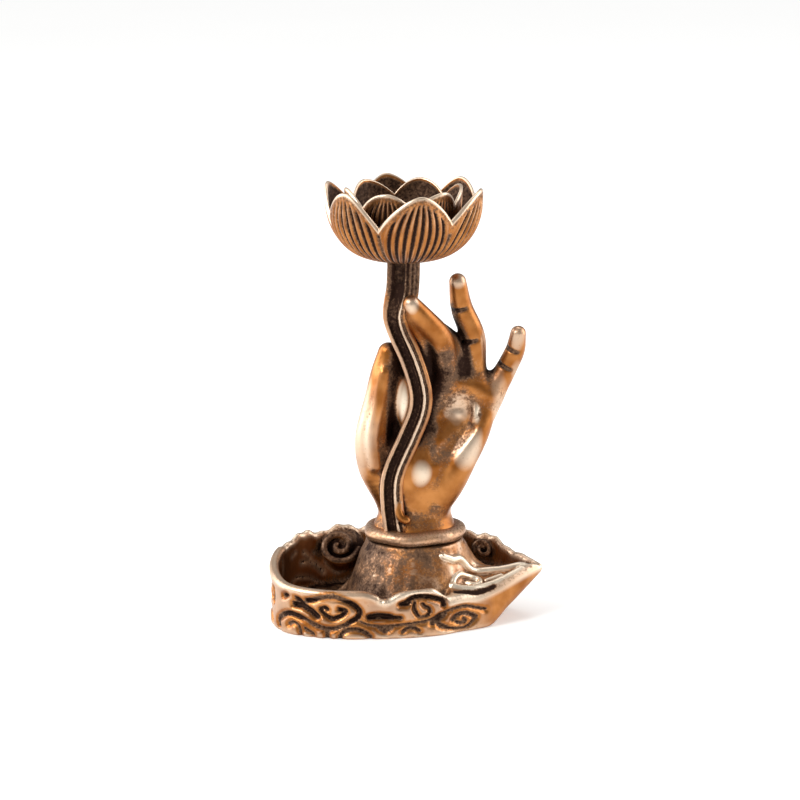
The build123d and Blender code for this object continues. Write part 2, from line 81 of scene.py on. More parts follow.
def eased(line, times):
    """The line with its kinks evened out and its ends kept."""
    line = np.array(line)
    for _ in range(times):
        line[1:-1] = (line[:-2] + 2 * line[1:-1] + line[2:]) / 4
    return line


# Modelling wax: the hand, the stalk and the dish are modelled as for lost-wax casting


class Wax:
    """A block of wax: depths to its surface on a grid, below zero inside, in mm."""

    FAR = 5.0

    def __init__(self, low, high, grain):
        self.low = np.array(low, np.float32)
        self.grain = grain
        size = np.ceil((np.array(high) - self.low) / grain).astype(int) + 1
        self.depth = np.full(size, self.FAR, np.float32)

    def near(self, low, high):
        """The part of the grid between two corners, and the places x, y, z in it."""
        first = np.clip(np.floor((np.asarray(low) - self.low) / self.grain).astype(int), 0, None)
        last = np.ceil((np.asarray(high) - self.low) / self.grain).astype(int) + 1
        last = np.maximum(np.minimum(last, self.depth.shape), first)
        cut = tuple(slice(a, b) for a, b in zip(first, last))
        axes = [self.low[k] + self.grain * np.arange(first[k], last[k], dtype=np.float32) for k in range(3)]
        return cut, np.meshgrid(*axes, indexing="ij", sparse=True)

    def everywhere(self):
        """The places x, y, z of the whole grid."""
        return self.near(self.low, self.low + self.grain * np.array(self.depth.shape))[1]

    def cell(self, places):
        """Index of the grid's own place at or just below each place, in plan where z isn't given."""
        axes = places.shape[1]
        number = ((places - self.low[:axes]) / self.grain).astype(int)
        return tuple(np.clip(number, 0, np.array(self.depth.shape[:axes]) - 1).T)

    def strand(self, line, reach=1.8):
        """Depths of a rolled strand: x, y, z and radius at each point of a line."""
        field = np.full_like(self.depth, self.FAR)
        for a, b in zip(line, line[1:]):
            grown = max(a[3], b[3]) + reach
            cut, (x, y, z) = self.near(np.minimum(a, b)[:3] - grown, np.maximum(a, b)[:3] + grown)
            run = b[:3] - a[:3]
            x, y, z = x - a[0], y - a[1], z - a[2]
            t = np.clip((x * run[0] + y * run[1] + z * run[2]) / (run @ run + 1e-9), 0, 1)
            away = np.sqrt((x - t * run[0]) ** 2 + (y - t * run[1]) ** 2 + (z - t * run[2]) ** 2)
            field[cut] = np.minimum(field[cut], away - a[3] - t * (b[3] - a[3]))
        return field

    def pad(self, centre, half, reach=2.0):
        """Depths of a pad of wax, an ellipsoid of the given half sizes."""
        field = np.full_like(self.depth, self.FAR)
        centre, half = np.array(centre), np.array(half)
        cut, places = self.near(centre - half - reach, centre + half + reach)
        shares = [(p - c) / h for p, c, h in zip(places, centre, half)]
        q = np.sqrt(sum(s**2 for s in shares))
        steep = np.sqrt(sum((s / h) ** 2 for s, h in zip(shares, half))) / np.maximum(q, 1e-3)
        field[cut] = np.minimum((q - 1) / np.maximum(steep, 1e-3), self.FAR)
        return field

    def add(self, field, soft=0.05):
        """Puts wax on, worked into what is there over a soft width."""
        blend = np.maximum(soft - np.abs(self.depth - field), 0) / soft
        self.depth = np.minimum(self.depth, field) - blend * blend * soft / 4

    def cut(self, field, soft=0.05):
        """Takes wax away."""
        blend = np.maximum(soft - np.abs(self.depth + field), 0) / soft
        self.depth = np.maximum(self.depth, -field) + blend * blend * soft / 4

    def at(self, places, field=None):
        """Depth at any place, between the grid's own, in the wax or in another field of its size."""
        field = self.depth if field is None else field
        free = (places - self.low) / self.grain
        g = np.clip(free, 0, np.array(self.depth.shape) - 1.001)
        cell = g.astype(int)
        share = g - cell
        total = np.linalg.norm(free - g, axis=1) * self.grain
        for corner in itertools.product((0, 1), repeat=3):
            weight = np.prod(np.where(corner, share, 1 - share), axis=1)
            total = total + weight * field[tuple((cell + corner).T)]
        return total

    def outward(self, places):
        """Unit direction out of the wax at each place."""
        steps = np.eye(3) * 0.7 * self.grain
        slope = np.stack([self.at(places + step) - self.at(places - step) for step in steps], axis=1)
        return slope / np.maximum(np.linalg.norm(slope, axis=1, keepdims=True), 1e-6)

    def cast(self):
        """Points and quads of the surface: a point in each cell that it crosses, a quad round each
        crossed edge."""
        inside = self.depth < 0
        cells = tuple(n - 1 for n in inside.shape)
        corners_in = np.zeros(cells, np.uint8)
        for corner in itertools.product((0, 1), repeat=3):
            corners_in += inside[tuple(slice(c, c + n) for c, n in zip(corner, cells))]
        crossed = (corners_in > 0) & (corners_in < 8)
        cell = np.argwhere(crossed)
        number = np.full(cells, -1, np.int32)
        number[crossed] = np.arange(len(cell))
        total = np.zeros((len(cell), 3))
        hits = np.zeros((len(cell), 1))
        quads = []
        for axis in range(3):
            step, side_a, side_b = np.roll(np.eye(3, dtype=int), -axis, axis=0)
            for i, j in itertools.product((0, 1), repeat=2):
                start = cell + i * side_a + j * side_b
                a = self.depth[tuple(start.T)]
                b = self.depth[tuple((start + step).T)]
                cross = (a < 0) != (b < 0)
                share = np.where(cross, a / np.where(cross, a - b, 1), 0)
                total += np.where(cross[:, None], start + step * share[:, None], 0)
                hits += cross[:, None]
            ends = np.moveaxis(inside, axis, 0)
            change = np.argwhere(np.moveaxis(ends[:-1] != ends[1:], 0, axis))
            within = np.all((change >= side_a + side_b) & (change < cells), axis=1)
            change = change[within]
            ring = [change, change - side_a, change - side_a - side_b, change - side_b]
            quad = np.stack([number[tuple(c.T)] for c in ring], axis=1)
            leaving = inside[tuple(change.T)]
            quads.append(np.where(leaving[:, None], quad, quad[:, ::-1]))
        points = self.low + self.grain * total / hits
        for _ in range(2):
            points = points - self.at(points)[:, None] * self.outward(points)
        return points, np.vstack(quads)

    def hollow(self, points, outward, reach):
        """0 where the surface is flat or bulges, towards 1 deep in a groove of that reach."""
        closed = [np.clip(1 - self.at(points + outward * far) / far, 0, 1) for far in reach]
        return sum(closed) / len(reach)

    def ridge(self, points, outward, reach):
        """0 where the surface is flat or hollow, towards 1 on an edge of that reach."""
        thin = [np.clip(1 + self.at(points - outward * far) / far, 0, 1) for far in reach]
        return sum(thin) / len(reach)


def lumps(shape, grain, size, seed):
    """Uneven field between -1 and 1 with lumps of about the given size in mm."""
    rough = np.random.default_rng(seed).uniform(-1, 1, [int(n * grain / size) + 4 for n in shape])
    for axis, n in enumerate(shape):
        place = np.arange(n) * grain / size
        first = place.astype(int)
        share = smooth(place - first)
        share = share.reshape([-1 if k == axis else 1 for k in range(len(shape))])
        rough = np.take(rough, first, axis) * (1 - share) + np.take(rough, first + 1, axis) * share
    return rough.astype(np.float32)


# Materials


def linear(hex_colour):
    """sRGB hex to a linear colour."""
    parts = [int(hex_colour[k : k + 2], 16) / 255 for k in (1, 3, 5)]
    return (*(c / 12.92 if c <= 0.04045 else ((c + 0.055) / 1.055) ** 2.4 for c in parts), 1.0)


def add_node(tree, kind, inputs=None, **settings):
    """Adds a node; an input is a value, or the socket that feeds it."""
    made = tree.nodes.new(kind)
    for name, value in settings.items():
        setattr(made, name, value)
    for key, value in (inputs or {}).items():
        if isinstance(value, bpy.types.NodeSocket):
            tree.links.new(value, made.inputs[key])
        else:
            made.inputs[key].default_value = value
    return made


def material_tree(name):
    """A new material and its empty node tree."""
    material = bpy.data.materials.new(name)
    material.use_nodes = True
    tree = material.node_tree
    tree.nodes.clear()
    return material, tree


def antiqued_cast_brass():
    """Cast brass, toned dark brown all over and rubbed back on everything that stands out.
    The eye gets pale gold on edges, copper orange on broad faces and near black in the grooves,
    with the sand-like grain of the mould left where no polishing mop reaches. The toning also
    carries painted shade, and the rubbing painted highlights, as each piece sets them."""
    material, tree = material_tree("antiqued_cast_brass")
    # the first attribute gives the toning with painted shade, the second the rubbing with painted highlights
    toning_and_shade = add_node(tree, "ShaderNodeAttribute", attribute_name="patina_and_shade").outputs["Fac"]
    rubbing_and_highlight = add_node(tree, "ShaderNodeAttribute", attribute_name="wear_and_highlight").outputs["Fac"]
    place = add_node(tree, "ShaderNodeTexCoord").outputs["Object"]
    # the face's clouds of orange and gold are about 3 mm across
    cloudy = {"Vector": place, "Scale": 1000 / 3.2, "Detail": 3.0}
    clouds = add_node(tree, "ShaderNodeTexNoise", cloudy).outputs["Fac"]
    # mould grain is about 0.1 mm, drawn at 0.4 mm to show at this size
    mould = {"Vector": place, "Scale": 1000 / 0.4, "Detail": 3.0, "Roughness": 0.6}
    grain = add_node(tree, "ShaderNodeTexNoise", mould).outputs["Fac"]
    uneven = add_node(
        tree, "ShaderNodeMath", {0: grain, 1: 1.1, 2: toning_and_shade}, operation="MULTIPLY_ADD"
    ).outputs[0]
    face = add_node(tree, "ShaderNodeValToRGB", {"Fac": clouds})
    face.color_ramp.elements[0].position = 0.35
    face.color_ramp.elements[0].color = linear("#8F5218")
    face.color_ramp.elements[1].position = 0.68
    face.color_ramp.elements[1].color = linear("#BE7E42")
    # the mop reaches the high grains of a toned place and leaves its pits; the painted highlights come in
    # with the rubbing
    high_grains = add_node(
        tree,
        "ShaderNodeMapRange",
        {"Value": grain, "From Min": 0.48, "From Max": 0.32, "To Max": 0.45},
    ).outputs["Result"]
    polish_and_highlight = add_node(
        tree,
        "ShaderNodeMath",
        {0: high_grains, 1: toning_and_shade, 2: rubbing_and_highlight},
        operation="MULTIPLY_ADD",
        use_clamp=True,
    ).outputs[0]
    pale = add_node(
        tree,
        "ShaderNodeMix",
        {0: polish_and_highlight, 6: face.outputs["Color"], 7: linear("#F6E4CC")},
        data_type="RGBA",
    ).outputs[2]
    brown_share = add_node(
        tree,
        "ShaderNodeMapRange",
        {"Value": uneven, "From Min": 0.655, "From Max": 1.075},
        interpolation_type="SMOOTHSTEP",
    ).outputs["Result"]
    brown = add_node(
        tree, "ShaderNodeMix", {0: brown_share, 6: pale, 7: linear("#694A31")}, data_type="RGBA"
    ).outputs[2]
    black_share = add_node(
        tree,
        "ShaderNodeMapRange",
        {"Value": uneven, "From Min": 1.0, "From Max": 1.5},
        interpolation_type="SMOOTHSTEP",
    ).outputs["Result"]
    colour = add_node(
        tree, "ShaderNodeMix", {0: black_share, 6: brown, 7: linear("#2A150A")}, data_type="RGBA"
    ).outputs[2]
    # brown toning is a dull skin; the deepest lies thin and dark on the metal
    skinned = add_node(
        tree, "ShaderNodeMath", {0: brown_share, 1: -0.65, 2: 1.0}, operation="MULTIPLY_ADD"
    ).outputs[0]
    bare = add_node(
        tree, "ShaderNodeMath", {0: black_share, 1: 0.45, 2: skinned}, operation="MULTIPLY_ADD"
    ).outputs[0]
    lacquer = add_node(
        tree,
        "ShaderNodeMapRange",
        {"Value": uneven, "From Min": 0.625, "From Max": 1.0, "To Min": 0.25, "To Max": 0.0},
    ).outputs["Result"]
    roughness = add_node(
        tree,
        "ShaderNodeMapRange",
        {"Value": uneven, "From Min": 0.475, "From Max": 1.375, "To Min": 0.36, "To Max": 0.6},
    ).outputs["Result"]
    # the sand grain stands 0.12 mm high where toning and painted shade lie, and is nearly polished off
    # elsewhere
    grainy = add_node(
        tree,
        "ShaderNodeMapRange",
        {"Value": toning_and_shade, "From Min": 0.0, "From Max": 0.7, "To Min": 0.12, "To Max": 0.9},
    ).outputs["Result"]
    bump = add_node(
        tree, "ShaderNodeBump", {"Height": grain, "Strength": grainy, "Distance": 0.12 * MM}
    ).outputs["Normal"]
    shader = add_node(
        tree,
        "ShaderNodeBsdfPrincipled",
        {
            "Base Color": colour,
            "Metallic": bare,
            "Roughness": roughness,
            "Normal": bump,
            "Coat Weight": lacquer,
            "Coat Roughness": 0.3,
        },
    )
    add_node(tree, "ShaderNodeOutputMaterial", {"Surface": shader.outputs["BSDF"]})
    return material


def turned_steel():
    """Plain steel screw stock, turned and left oily. The eye gets a cool dark grey with fine rings."""
    material, tree = material_tree("turned_steel")
    place = add_node(tree, "ShaderNodeTexCoord").outputs["Object"]
    # tool marks are about 0.05 mm apart, drawn 1.57 mm apart to show; the node's own are pi / 10 apart
    marks = add_node(
        tree,
        "ShaderNodeTexWave",
        {"Vector": place, "Scale": math.pi / 10 / (1.5708 * MM), "Distortion": 1.5, "Detail": 2.0},
        bands_direction="Z",
    ).outputs["Fac"]
    tint = add_node(tree, "ShaderNodeValToRGB", {"Fac": marks})
    tint.color_ramp.elements[0].color = linear("#6E6A66")
    tint.color_ramp.elements[1].color = linear("#9C9894")
    rough = add_node(
        tree, "ShaderNodeMapRange", {"Value": marks, "To Min": 0.3, "To Max": 0.42}
    ).outputs["Result"]
    shader = add_node(
        tree,
        "ShaderNodeBsdfPrincipled",
        {"Base Color": tint.outputs["Color"], "Metallic": 1.0, "Roughness": rough},
    )
    add_node(tree, "ShaderNodeOutputMaterial", {"Surface": shader.outputs["BSDF"]})
    return material


BRASS = antiqued_cast_brass()


def casting(name, points, quads, patina_and_shade, wear_and_highlight, *nodes):
    """One brass piece from points in mm in the CAD frame; it stands for the CAD nodes named."""
    mesh = bpy.data.meshes.new(name)
    count = len(quads)
    mesh.vertices.add(len(points))
    mesh.vertices.foreach_set("co", (points * MM).astype(np.float32).ravel())
    mesh.loops.add(4 * count)
    mesh.loops.foreach_set("vertex_index", quads.astype(np.int32).ravel())
    mesh.polygons.add(count)
    mesh.polygons.foreach_set("loop_start", np.arange(0, 4 * count, 4, dtype=np.int32))
    mesh.update(calc_edges=True)
    mesh.validate()
    mesh.polygons.foreach_set("use_smooth", np.ones(len(mesh.polygons), bool))
    # the dark attribute holds patina with painted shade, the pale one wear with painted highlights
    for kind, values in (("patina_and_shade", patina_and_shade), ("wear_and_highlight", wear_and_highlight)):
        layer = mesh.attributes.new(kind, "FLOAT", "POINT")
        layer.data.foreach_set("value", np.clip(values, 0, 1).astype(np.float32))
    mesh.materials.append(BRASS)
    piece = bpy.data.objects.new(name, mesh)
    bpy.context.scene.collection.objects.link(piece)
    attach(piece, "root")
    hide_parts(*nodes)


# Lotus stalk, in the hand's frame: origin in the middle of the collar's top, palm towards -y

STALK = [
    (-2.65, -4.2, -0.3), (-3.15, -4.4, 3.8), (-3.15, -4.7, 7.7), (-0.75, -4.5, 13.6), (1.05, -4.6, 18.8),
    (-0.45, -4.9, 25.3), (-2.65, -4.7, 31.2), (-1.8, -4.5, 34.3), (-1.6, -4.3, 36.8), (-1.55, -4.2, 39.3),
]
# Strands beside the stalk's middle: to the side, to the front and radius, then the same under the flower
CORE = [
    (-0.75, -0.35, 0.85, -0.75, -0.1, 1.55),
    (0.75, -0.35, 0.85, 0.75, -0.1, 1.55),
]
EDGES = [
    (-1.22, 0.42, 0.45, -1.95, 0.75, 0.36),
    (0.42, 0.55, 0.45, 0.35, 1.5, 0.3),
    (1.15, 0.28, 0.48, 1.95, 0.6, 0.38),
]
UPPER_STRANDS = [  # the same, and the share of the stalk's length where the strand starts
    (0.75, 0.35, 0.3, 0.9, 1.42, 0.27, 0.7),
    (1.0, 0.3, 0.3, 1.45, 1.12, 0.27, 0.72),
]
HEAD_STARTS, HEAD_SPREADS = 0.74, 0.14  # shares of the stalk's length: where it spreads, and over what
CHANNEL = (-0.42, 0.92, 0.62, -0.8, 1.9, 0.95)
SPLIT = (0.86, 0.82, 0.2, 0.62, 1.8, 0.16)
FOOT_CURL = [  # places and radius
    (-2.3, -4.95, 4.0, 0.5), (-2.2, -5.1, 2.8, 0.55), (-1.8, -5.25, 2.0, 0.6), (-1.2, -5.3, 1.7, 0.64),
]


def stalk_line(side, front, radius, side_head, front_head, radius_head, first=0.0):
    """A strand that runs up the stalk beside its centre line and spreads under the flower."""
    middle = eased(through(STALK, per_span=10), times=8)
    run = np.concatenate([[0], np.cumsum(np.linalg.norm(np.diff(middle, axis=0), axis=1))])
    share = run / run[-1]
    way = np.gradient(middle, axis=0)
    way /= np.linalg.norm(way, axis=1, keepdims=True)
    across = np.cross((0, 1, 0), way)
    across /= np.linalg.norm(across, axis=1, keepdims=True)
    towards = np.cross(across, way)
    spread = smooth((share - HEAD_STARTS) / HEAD_SPREADS)[:, None]
    beside = side + (side_head - side) * spread
    ahead = front + (front_head - front) * spread
    line = middle + across * beside + towards * ahead
    line = np.hstack([line, radius + (radius_head - radius) * spread])
    return line[share >= first]


def stalk_core():
    """The two strands that make up the body of the stalk."""
    return [stalk_line(*strand) for strand in CORE]


def lotus_stalk():
    """Stalk with a raised edge on the left, a broad channel, and on the right a split edge
    that curls out at its foot."""
    wax = Wax(low=(-6.4, -8.2, -0.6), high=(4.4, -0.4, 39.6), grain=0.14)
    for core in stalk_core():
        wax.add(wax.strand(core), soft=0.4)
    for edge in EDGES:
        wax.add(wax.strand(stalk_line(*edge)), soft=0.25)
    for strand in UPPER_STRANDS:
        wax.add(wax.strand(stalk_line(*strand)), soft=0.15)
    channel = wax.strand(stalk_line(*CHANNEL))
    wax.cut(channel, soft=0.2)
    wax.cut(wax.strand(stalk_line(*SPLIT)), soft=0.12)
    wax.add(wax.strand(through(FOOT_CURL)), soft=0.3)
    points, quads = wax.cast()
    outward = wax.outward(points)
    groove = wax.hollow(points, outward, reach=(0.25, 0.5, 0.9))
    edge = wax.ridge(points, outward, reach=(0.2, 0.4, 0.6))
    # dark in the channel, behind and under the flower, pale on the edges
    behind = 0.35 * smooth((outward[:, 1] + 0.1) / 0.6)
    in_channel = smooth((0.16 - wax.at(points, channel)) / 0.12)
    under_flower = smooth((points[:, 2] - 32.5) / 3.0)
    patina_and_shade = 1.8 * groove + behind - 0.3 * edge + 0.65 * in_channel
    patina_and_shade = patina_and_shade + 0.55 * under_flower
    wear_and_highlight = 1.9 * (edge - 0.16) * (1 - behind) * (1 - 0.2 * under_flower) - 0.6 * patina_and_shade
    casting("lotus_stalk_cast", points + HAND_FOOT, quads, patina_and_shade, wear_and_highlight, "lotus_stalk")


# Raised hand, in the same frame: each line gives places along a roll of wax with its radius there

WRIST_AND_PALM = [  # height, middle x and y, half width, half depth
    (-1.6, 0.0, 0.0, 5.9, 5.1), (-0.4, 0.0, 0.0, 5.95, 5.1), (0.5, 0.03, 0.0, 5.6, 4.7),
    (1.8, 0.08, 0.0, 5.2, 4.25), (3.2, 0.2, 0.0, 5.55, 4.3), (5.3, 0.6, 0.0, 6.6, 4.5),
    (8.3, 1.0, -0.1, 7.15, 4.5), (11.3, 2.4, -0.2, 6.95, 4.2), (14.3, 3.5, -0.2, 7.0, 3.5),
    (17.3, 4.2, -0.3, 7.65, 2.9), (20.3, 4.9, -0.4, 7.7, 2.4), (22.4, 5.6, -0.4, 6.5, 1.8),
]
PALM_TOP = 22.4
KNUCKLES = [(4.6, 0.9, 21.0), (6.6, 1.0, 21.2), (8.8, 0.9, 20.6), (11.0, 0.7, 18.8)]
KNUCKLE_HALF = (1.35, 1.2, 1.9)
THUMB = [
    (-2.9, -0.8, 4.0, 2.3), (-5.1, -1.5, 8.8, 2.95), (-5.95, -2.2, 13.3, 2.5), (-5.55, -2.4, 16.0, 2.33),
    (-5.0, -2.6, 18.5, 2.2), (-4.2, -2.8, 22.8, 1.95), (-3.7, -2.9, 25.6, 1.5),
]
FRONT_OF_THUMB = [
    (-5.5, -4.6, 9.5, 0.6), (-6.0, -4.7, 13.5, 0.5), (-5.1, -4.75, 18.5, 0.45), (-4.35, -4.65, 23.0, 0.4),
]
SIDE_OF_THUMB = [
    (-3.9, -1.6, 16.5, 1.5), (-3.3, -1.9, 20.5, 1.45), (-2.75, -2.2, 23.0, 1.4), (-2.7, -2.5, 25.2, 1.1),
]
HEEL = [
    (2.9, -1.6, 3.0, 2.1), (4.9, -2.5, 6.5, 2.3), (6.7, -2.5, 10.0, 2.2), (8.6, -2.0, 13.5, 2.0),
    (9.9, -1.3, 16.5, 1.7),
]
FINGER_ROOTS = [(3.6, -1.8, 20.8, 1.4), (7.0, -1.8, 20.9, 1.4), (10.6, -1.3, 18.9, 1.4)]
FINGERS = {
    "index": [
        (4.4, -0.7, 18.4, 1.75), (4.5, -2.3, 23.0, 1.7), (3.8, -3.9, 27.6, 1.75), (1.4, -5.7, 31.0, 1.55),
        (-0.45, -6.4, 33.3, 1.25),
    ],
    "middle": [
        (6.35, -0.7, 19.8, 1.75), (6.1, -1.1, 23.4, 1.7), (4.95, -1.8, 26.9, 1.6), (2.05, -3.2, 29.7, 1.4),
        (0.35, -4.0, 31.7, 1.1),
    ],
    "ring": [
        (8.75, -0.4, 19.5, 1.75), (8.6, -0.65, 23.5, 1.68), (8.35, -1.0, 27.4, 1.75),
        (6.65, -1.8, 32.1, 1.55), (6.1, -2.7, 35.8, 1.22),
    ],
    "little": [
        (9.9, -0.2, 16.8, 1.9), (11.7, -0.35, 20.2, 1.7), (13.3, -0.5, 23.2, 1.5), (14.4, -1.0, 25.8, 1.38),
        (14.75, -1.45, 28.1, 1.12),
    ],
}
CREASED = ("ring", "little")  # fingers whose folds are cut across the palm side of both joints
WEB = [
    (0.6, -0.6, 19.5, 1.9), (1.3, -1.4, 23.5, 1.7), (1.1, -2.8, 26.8, 1.5), (0.5, -4.1, 29.2, 1.35),
    (-0.3, -5.1, 31.2, 1.1),
]
LIFE_LINE = [
    (3.2, -4.9, 10.8, 0.2), (4.2, -4.7, 11.5, 0.35), (5.6, -4.25, 12.8, 0.35), (7.6, -3.6, 15.0, 0.2),
]
HOLLOW_EDGE = [(8.6, -2.9, 15.6, 0.4), (8.65, -2.9, 16.6, 0.5), (8.6, -2.7, 18.0, 0.35)]
TONING_AND_SHADE = [  # where toning stays, with painted shade on the thumb's inner face and beside the stalk; below zero, where it was rubbed off and where the stalk's painted shade is lifted: middle, half sizes, strength
    ((2.9, -3.0, 24.6), (3.0, 3.0, 4.2), 0.35),
    # painted shade and toning on the thumb's inner face
    ((-3.1, -3.4, 19.0), (1.0, 2.4, 7.5), 0.7),
    ((7.0, -2.4, 23.8), (1.0, 1.6, 3.6), 0.5),
    # painted shadow of the stalk on the palm
    ((2.6, -4.2, 16.0), (0.9, 2.0, 6.0), 0.5),
    ((3.9, -3.8, 22.6), (2.6, 2.8, 5.6), 0.42),
    ((6.2, -4.0, 17.4), (3.0, 2.6, 3.0), 0.15),
    # lifts the stalk's painted shade off the palm's edge beside it
    ((-1.6, -3.2, 18.4), (1.6, 1.7, 3.8), -1.2),
    ((8.4, -2.2, 23.0), (1.6, 1.8, 2.8), 0.34),
    ((1.6, -4.8, 9.4), (1.8, 1.4, 2.2), -0.4),
    ((1.5, -4.0, 2.4), (4.5, 2.0, 1.6), 0.3),
    ((2.5, -4.6, 11.5), (1.1, 1.4, 1.1), -0.3),
    # painted shadow of the stalk on the palm, lower down
    ((1.7, -4.4, 13.2), (1.3, 1.8, 3.0), 0.38),
    ((0.0, 0.0, 0.4), (7.0, 6.0, 0.9), 0.45),
]
POLISH_AND_HIGHLIGHTS = [  # where hands and cloths have polished it, with painted highlights on faces turned to the lamps: middle, half sizes, strength
    # painted highlight on the thumb's left face
    ((-7.4, -2.6, 15.5), (2.3, 3.5, 9.0), 0.85),
    # painted highlight on the palm's edge beside the stalk
    ((-1.5, -3.4, 18.6), (1.2, 1.4, 3.6), 0.6),
    # painted highlight on the ball of the thumb
    ((0.9, -5.0, 8.3), (1.5, 1.4, 2.1), 0.85),
    # painted highlights on the heel of the hand, its right edge and the ridge by the hollow
    ((7.6, -4.4, 12.2), (2.6, 2.0, 3.6), 0.8),
    ((11.8, -0.9, 18.6), (1.9, 2.2, 5.0), 0.7),
    ((9.0, -3.1, 16.6), (0.5, 0.7, 1.4), 0.7),
    ((6.2, -3.0, 17.6), (2.6, 2.0, 2.6), 0.85),
    ((-0.4, -7.4, 33.4), (1.0, 1.2, 1.4), 0.7),
    ((6.1, -3.4, 36.2), (1.3, 1.4, 1.3), 0.6),
    ((14.6, -2.2, 27.8), (1.2, 1.2, 2.0), 0.6),
    ((9.9, -1.2, 26.5), (0.8, 1.6, 5.0), 0.5),
    ((14.3, -0.9, 23.6), (0.9, 1.4, 3.4), 0.5),
]


def dab(points, middle, half):
    """1 in the middle of a dab of toning or polish, falling softly to 0 past its half sizes."""
    off = (((points - middle) / half) ** 2).sum(axis=1)
    return np.exp(-1.2 * off**2)


def wrist_and_palm(wax):
    """Fills the wax with the wrist and palm, oval at every height and rounded off at the top."""
    x, y, z = wax.everywhere()
    rows = through(WRIST_AND_PALM, per_span=6)
    cx, cy, a, b = (np.interp(z, rows[:, 0], rows[:, k]) for k in (1, 2, 3, 4))
    u, v = (x - cx) / a, (y - cy) / b
    q = np.sqrt(u * u + v * v)
    steep = np.sqrt((u / a) ** 2 + (v / b) ** 2) / np.maximum(q, 1e-3)
    body = np.minimum((q - 1) / np.maximum(steep, 0.05), wax.FAR)
    wax.depth = body.astype(np.float32)
    wax.cut(np.broadcast_to(PALM_TOP - z, body.shape), soft=2.2)


def finger_folds():
    """Lines of the folds across the palm side of each creased finger's two joints."""
    for name in CREASED:
        line = np.array(FINGERS[name])
        for joint in (2, 3):
            way = line[joint + 1, :3] - line[joint - 1, :3]
            way /= np.linalg.norm(way)
            across = np.cross((0, 1, 0), way)
            across /= np.linalg.norm(across)
            front = np.cross(across, way)
            just_in = 0.99 * line[joint, 3]
            fold = []
            for turn, width in ((-80, 0.2), (-45, 0.2), (-10, 0.2), (25, 0.1)):
                round_it = math.radians(turn)
                out = across * math.sin(round_it) + front * math.cos(round_it)
                fold.append((*(line[joint, :3] + just_in * out), width))
            yield np.array(fold)


def modelled_hand():
    """The hand in wax, and the depths of the valley across its palm."""
    wax = Wax(low=(-9.8, -9.2, -1.4), high=(16.9, 6.0, 38.0), grain=0.17)
    wrist_and_palm(wax)
    for knuckle in KNUCKLES:
        wax.add(wax.pad(knuckle, KNUCKLE_HALF), soft=1.2)
    wax.add(wax.strand(through(THUMB)), soft=1.6)
    wax.add(wax.strand(through(FRONT_OF_THUMB)), soft=1.2)
    ball_of_thumb = wax.pad((-0.6, -2.7, 8.6), half=(4.0, 2.5, 4.8))
    wax.add(ball_of_thumb, soft=1.2)
    wax.add(wax.strand(through(HEEL)), soft=0.7)
    wax.add(wax.strand(through(FINGER_ROOTS)), soft=1.4)
    beside_thumb = wax.pad((-1.0, -2.1, 18.6), half=(1.9, 1.7, 4.2))
    wax.add(beside_thumb, soft=1.0)
    by_the_stalk = wax.pad((0.9, -4.0, 8.4), half=(1.6, 1.2, 2.2))
    wax.add(by_the_stalk, soft=0.7)
    wax.add(wax.strand(through(SIDE_OF_THUMB)), soft=0.8)
    for line in FINGERS.values():
        wax.add(wax.strand(through(line)), soft=0.8)
    wax.add(wax.strand(through(WEB)), soft=1.0)
    hollow_of_palm = wax.pad((5.9, -5.6, 17.0), half=(3.3, 3.2, 3.7))
    wax.cut(hollow_of_palm, soft=1.4)
    valley = wax.strand(through(LIFE_LINE))
    wax.cut(valley, soft=1.6)
    wax.add(wax.strand(through(HOLLOW_EDGE)), soft=0.6)
    for fold in finger_folds():
        wax.cut(wax.strand(fold), soft=0.4)
    x, y, z = wax.everywhere()
    in_hollow = np.exp(-(((x - 6.2) / 3.0) ** 2) - ((z - 17.6) / 3.0) ** 2) * smooth(-y / 1.5)
    wax.depth = wax.depth + in_hollow * (0.2 * lumps(wax.depth.shape, wax.grain, size=0.9, seed=11))
    return wax, valley


def raised_hand():
    """Wrist, palm, thumb and four fingers in one casting, with the pads, folds and hollow of an
    open palm."""
    wax, valley = modelled_hand()
    points, quads = wax.cast()
    outward = wax.outward(points)
    edge = wax.ridge(points, outward, reach=(0.5, 1.0, 1.6))
    # painted shade: the stalk's strands go into the wax before the hollows are measured, so the palm darkens
    # where the stalk lies close
    for core in stalk_core():
        wax.add(wax.strand(core))
    fine = wax.hollow(points, outward, reach=(0.3, 0.6))
    broad = wax.hollow(points, outward, reach=(1.2, 2.2, 3.4))
    mottled = lumps(wax.depth.shape, wax.grain, size=1.6, seed=7)[wax.cell(points)]
    patina_and_shade = 1.3 * fine + 0.75 * broad + 0.16 * mottled - 0.08
    for middle, half, strength in TONING_AND_SHADE:
        patina_and_shade = patina_and_shade + strength * (1 + 0.35 * mottled) * dab(points, middle, half)
    patina_and_shade = patina_and_shade + (0.2 + 0.15 * mottled) * smooth((1.3 - wax.at(points, valley)) / 1.3)
    wear_and_highlight = edge - 0.3
    for middle, half, strength in POLISH_AND_HIGHLIGHTS:
        wear_and_highlight = wear_and_highlight + strength * dab(points, middle, half)
    wear_and_highlight = wear_and_highlight - 0.6 * patina_and_shade
    nodes = ("palm", "thumb", "index_finger", "middle_finger", "ring_finger", "little_finger")
    casting("raised_hand_cast", points + HAND_FOOT, quads, patina_and_shade, wear_and_highlight, *nodes)


# Flower and the turned pieces


def closed_grid(columns, rows):
    """Quads of a grid that closes on itself both ways."""
    i, j = np.meshgrid(np.arange(columns), np.arange(rows), indexing="ij")
    right, up = (i + 1) % columns, (j + 1) % rows
    corners = [i * rows + j, right * rows + j, right * rows + up, i * rows + up]
    return np.stack(corners, axis=-1).reshape(-1, 4)


PETALS = 6
BOWL_SHARE = 0.8  # share of a petal's height that the round of the bowl takes
TIP_ASIDE = 0.1  # how far a petal's tip is off its middle, as a share of its half width


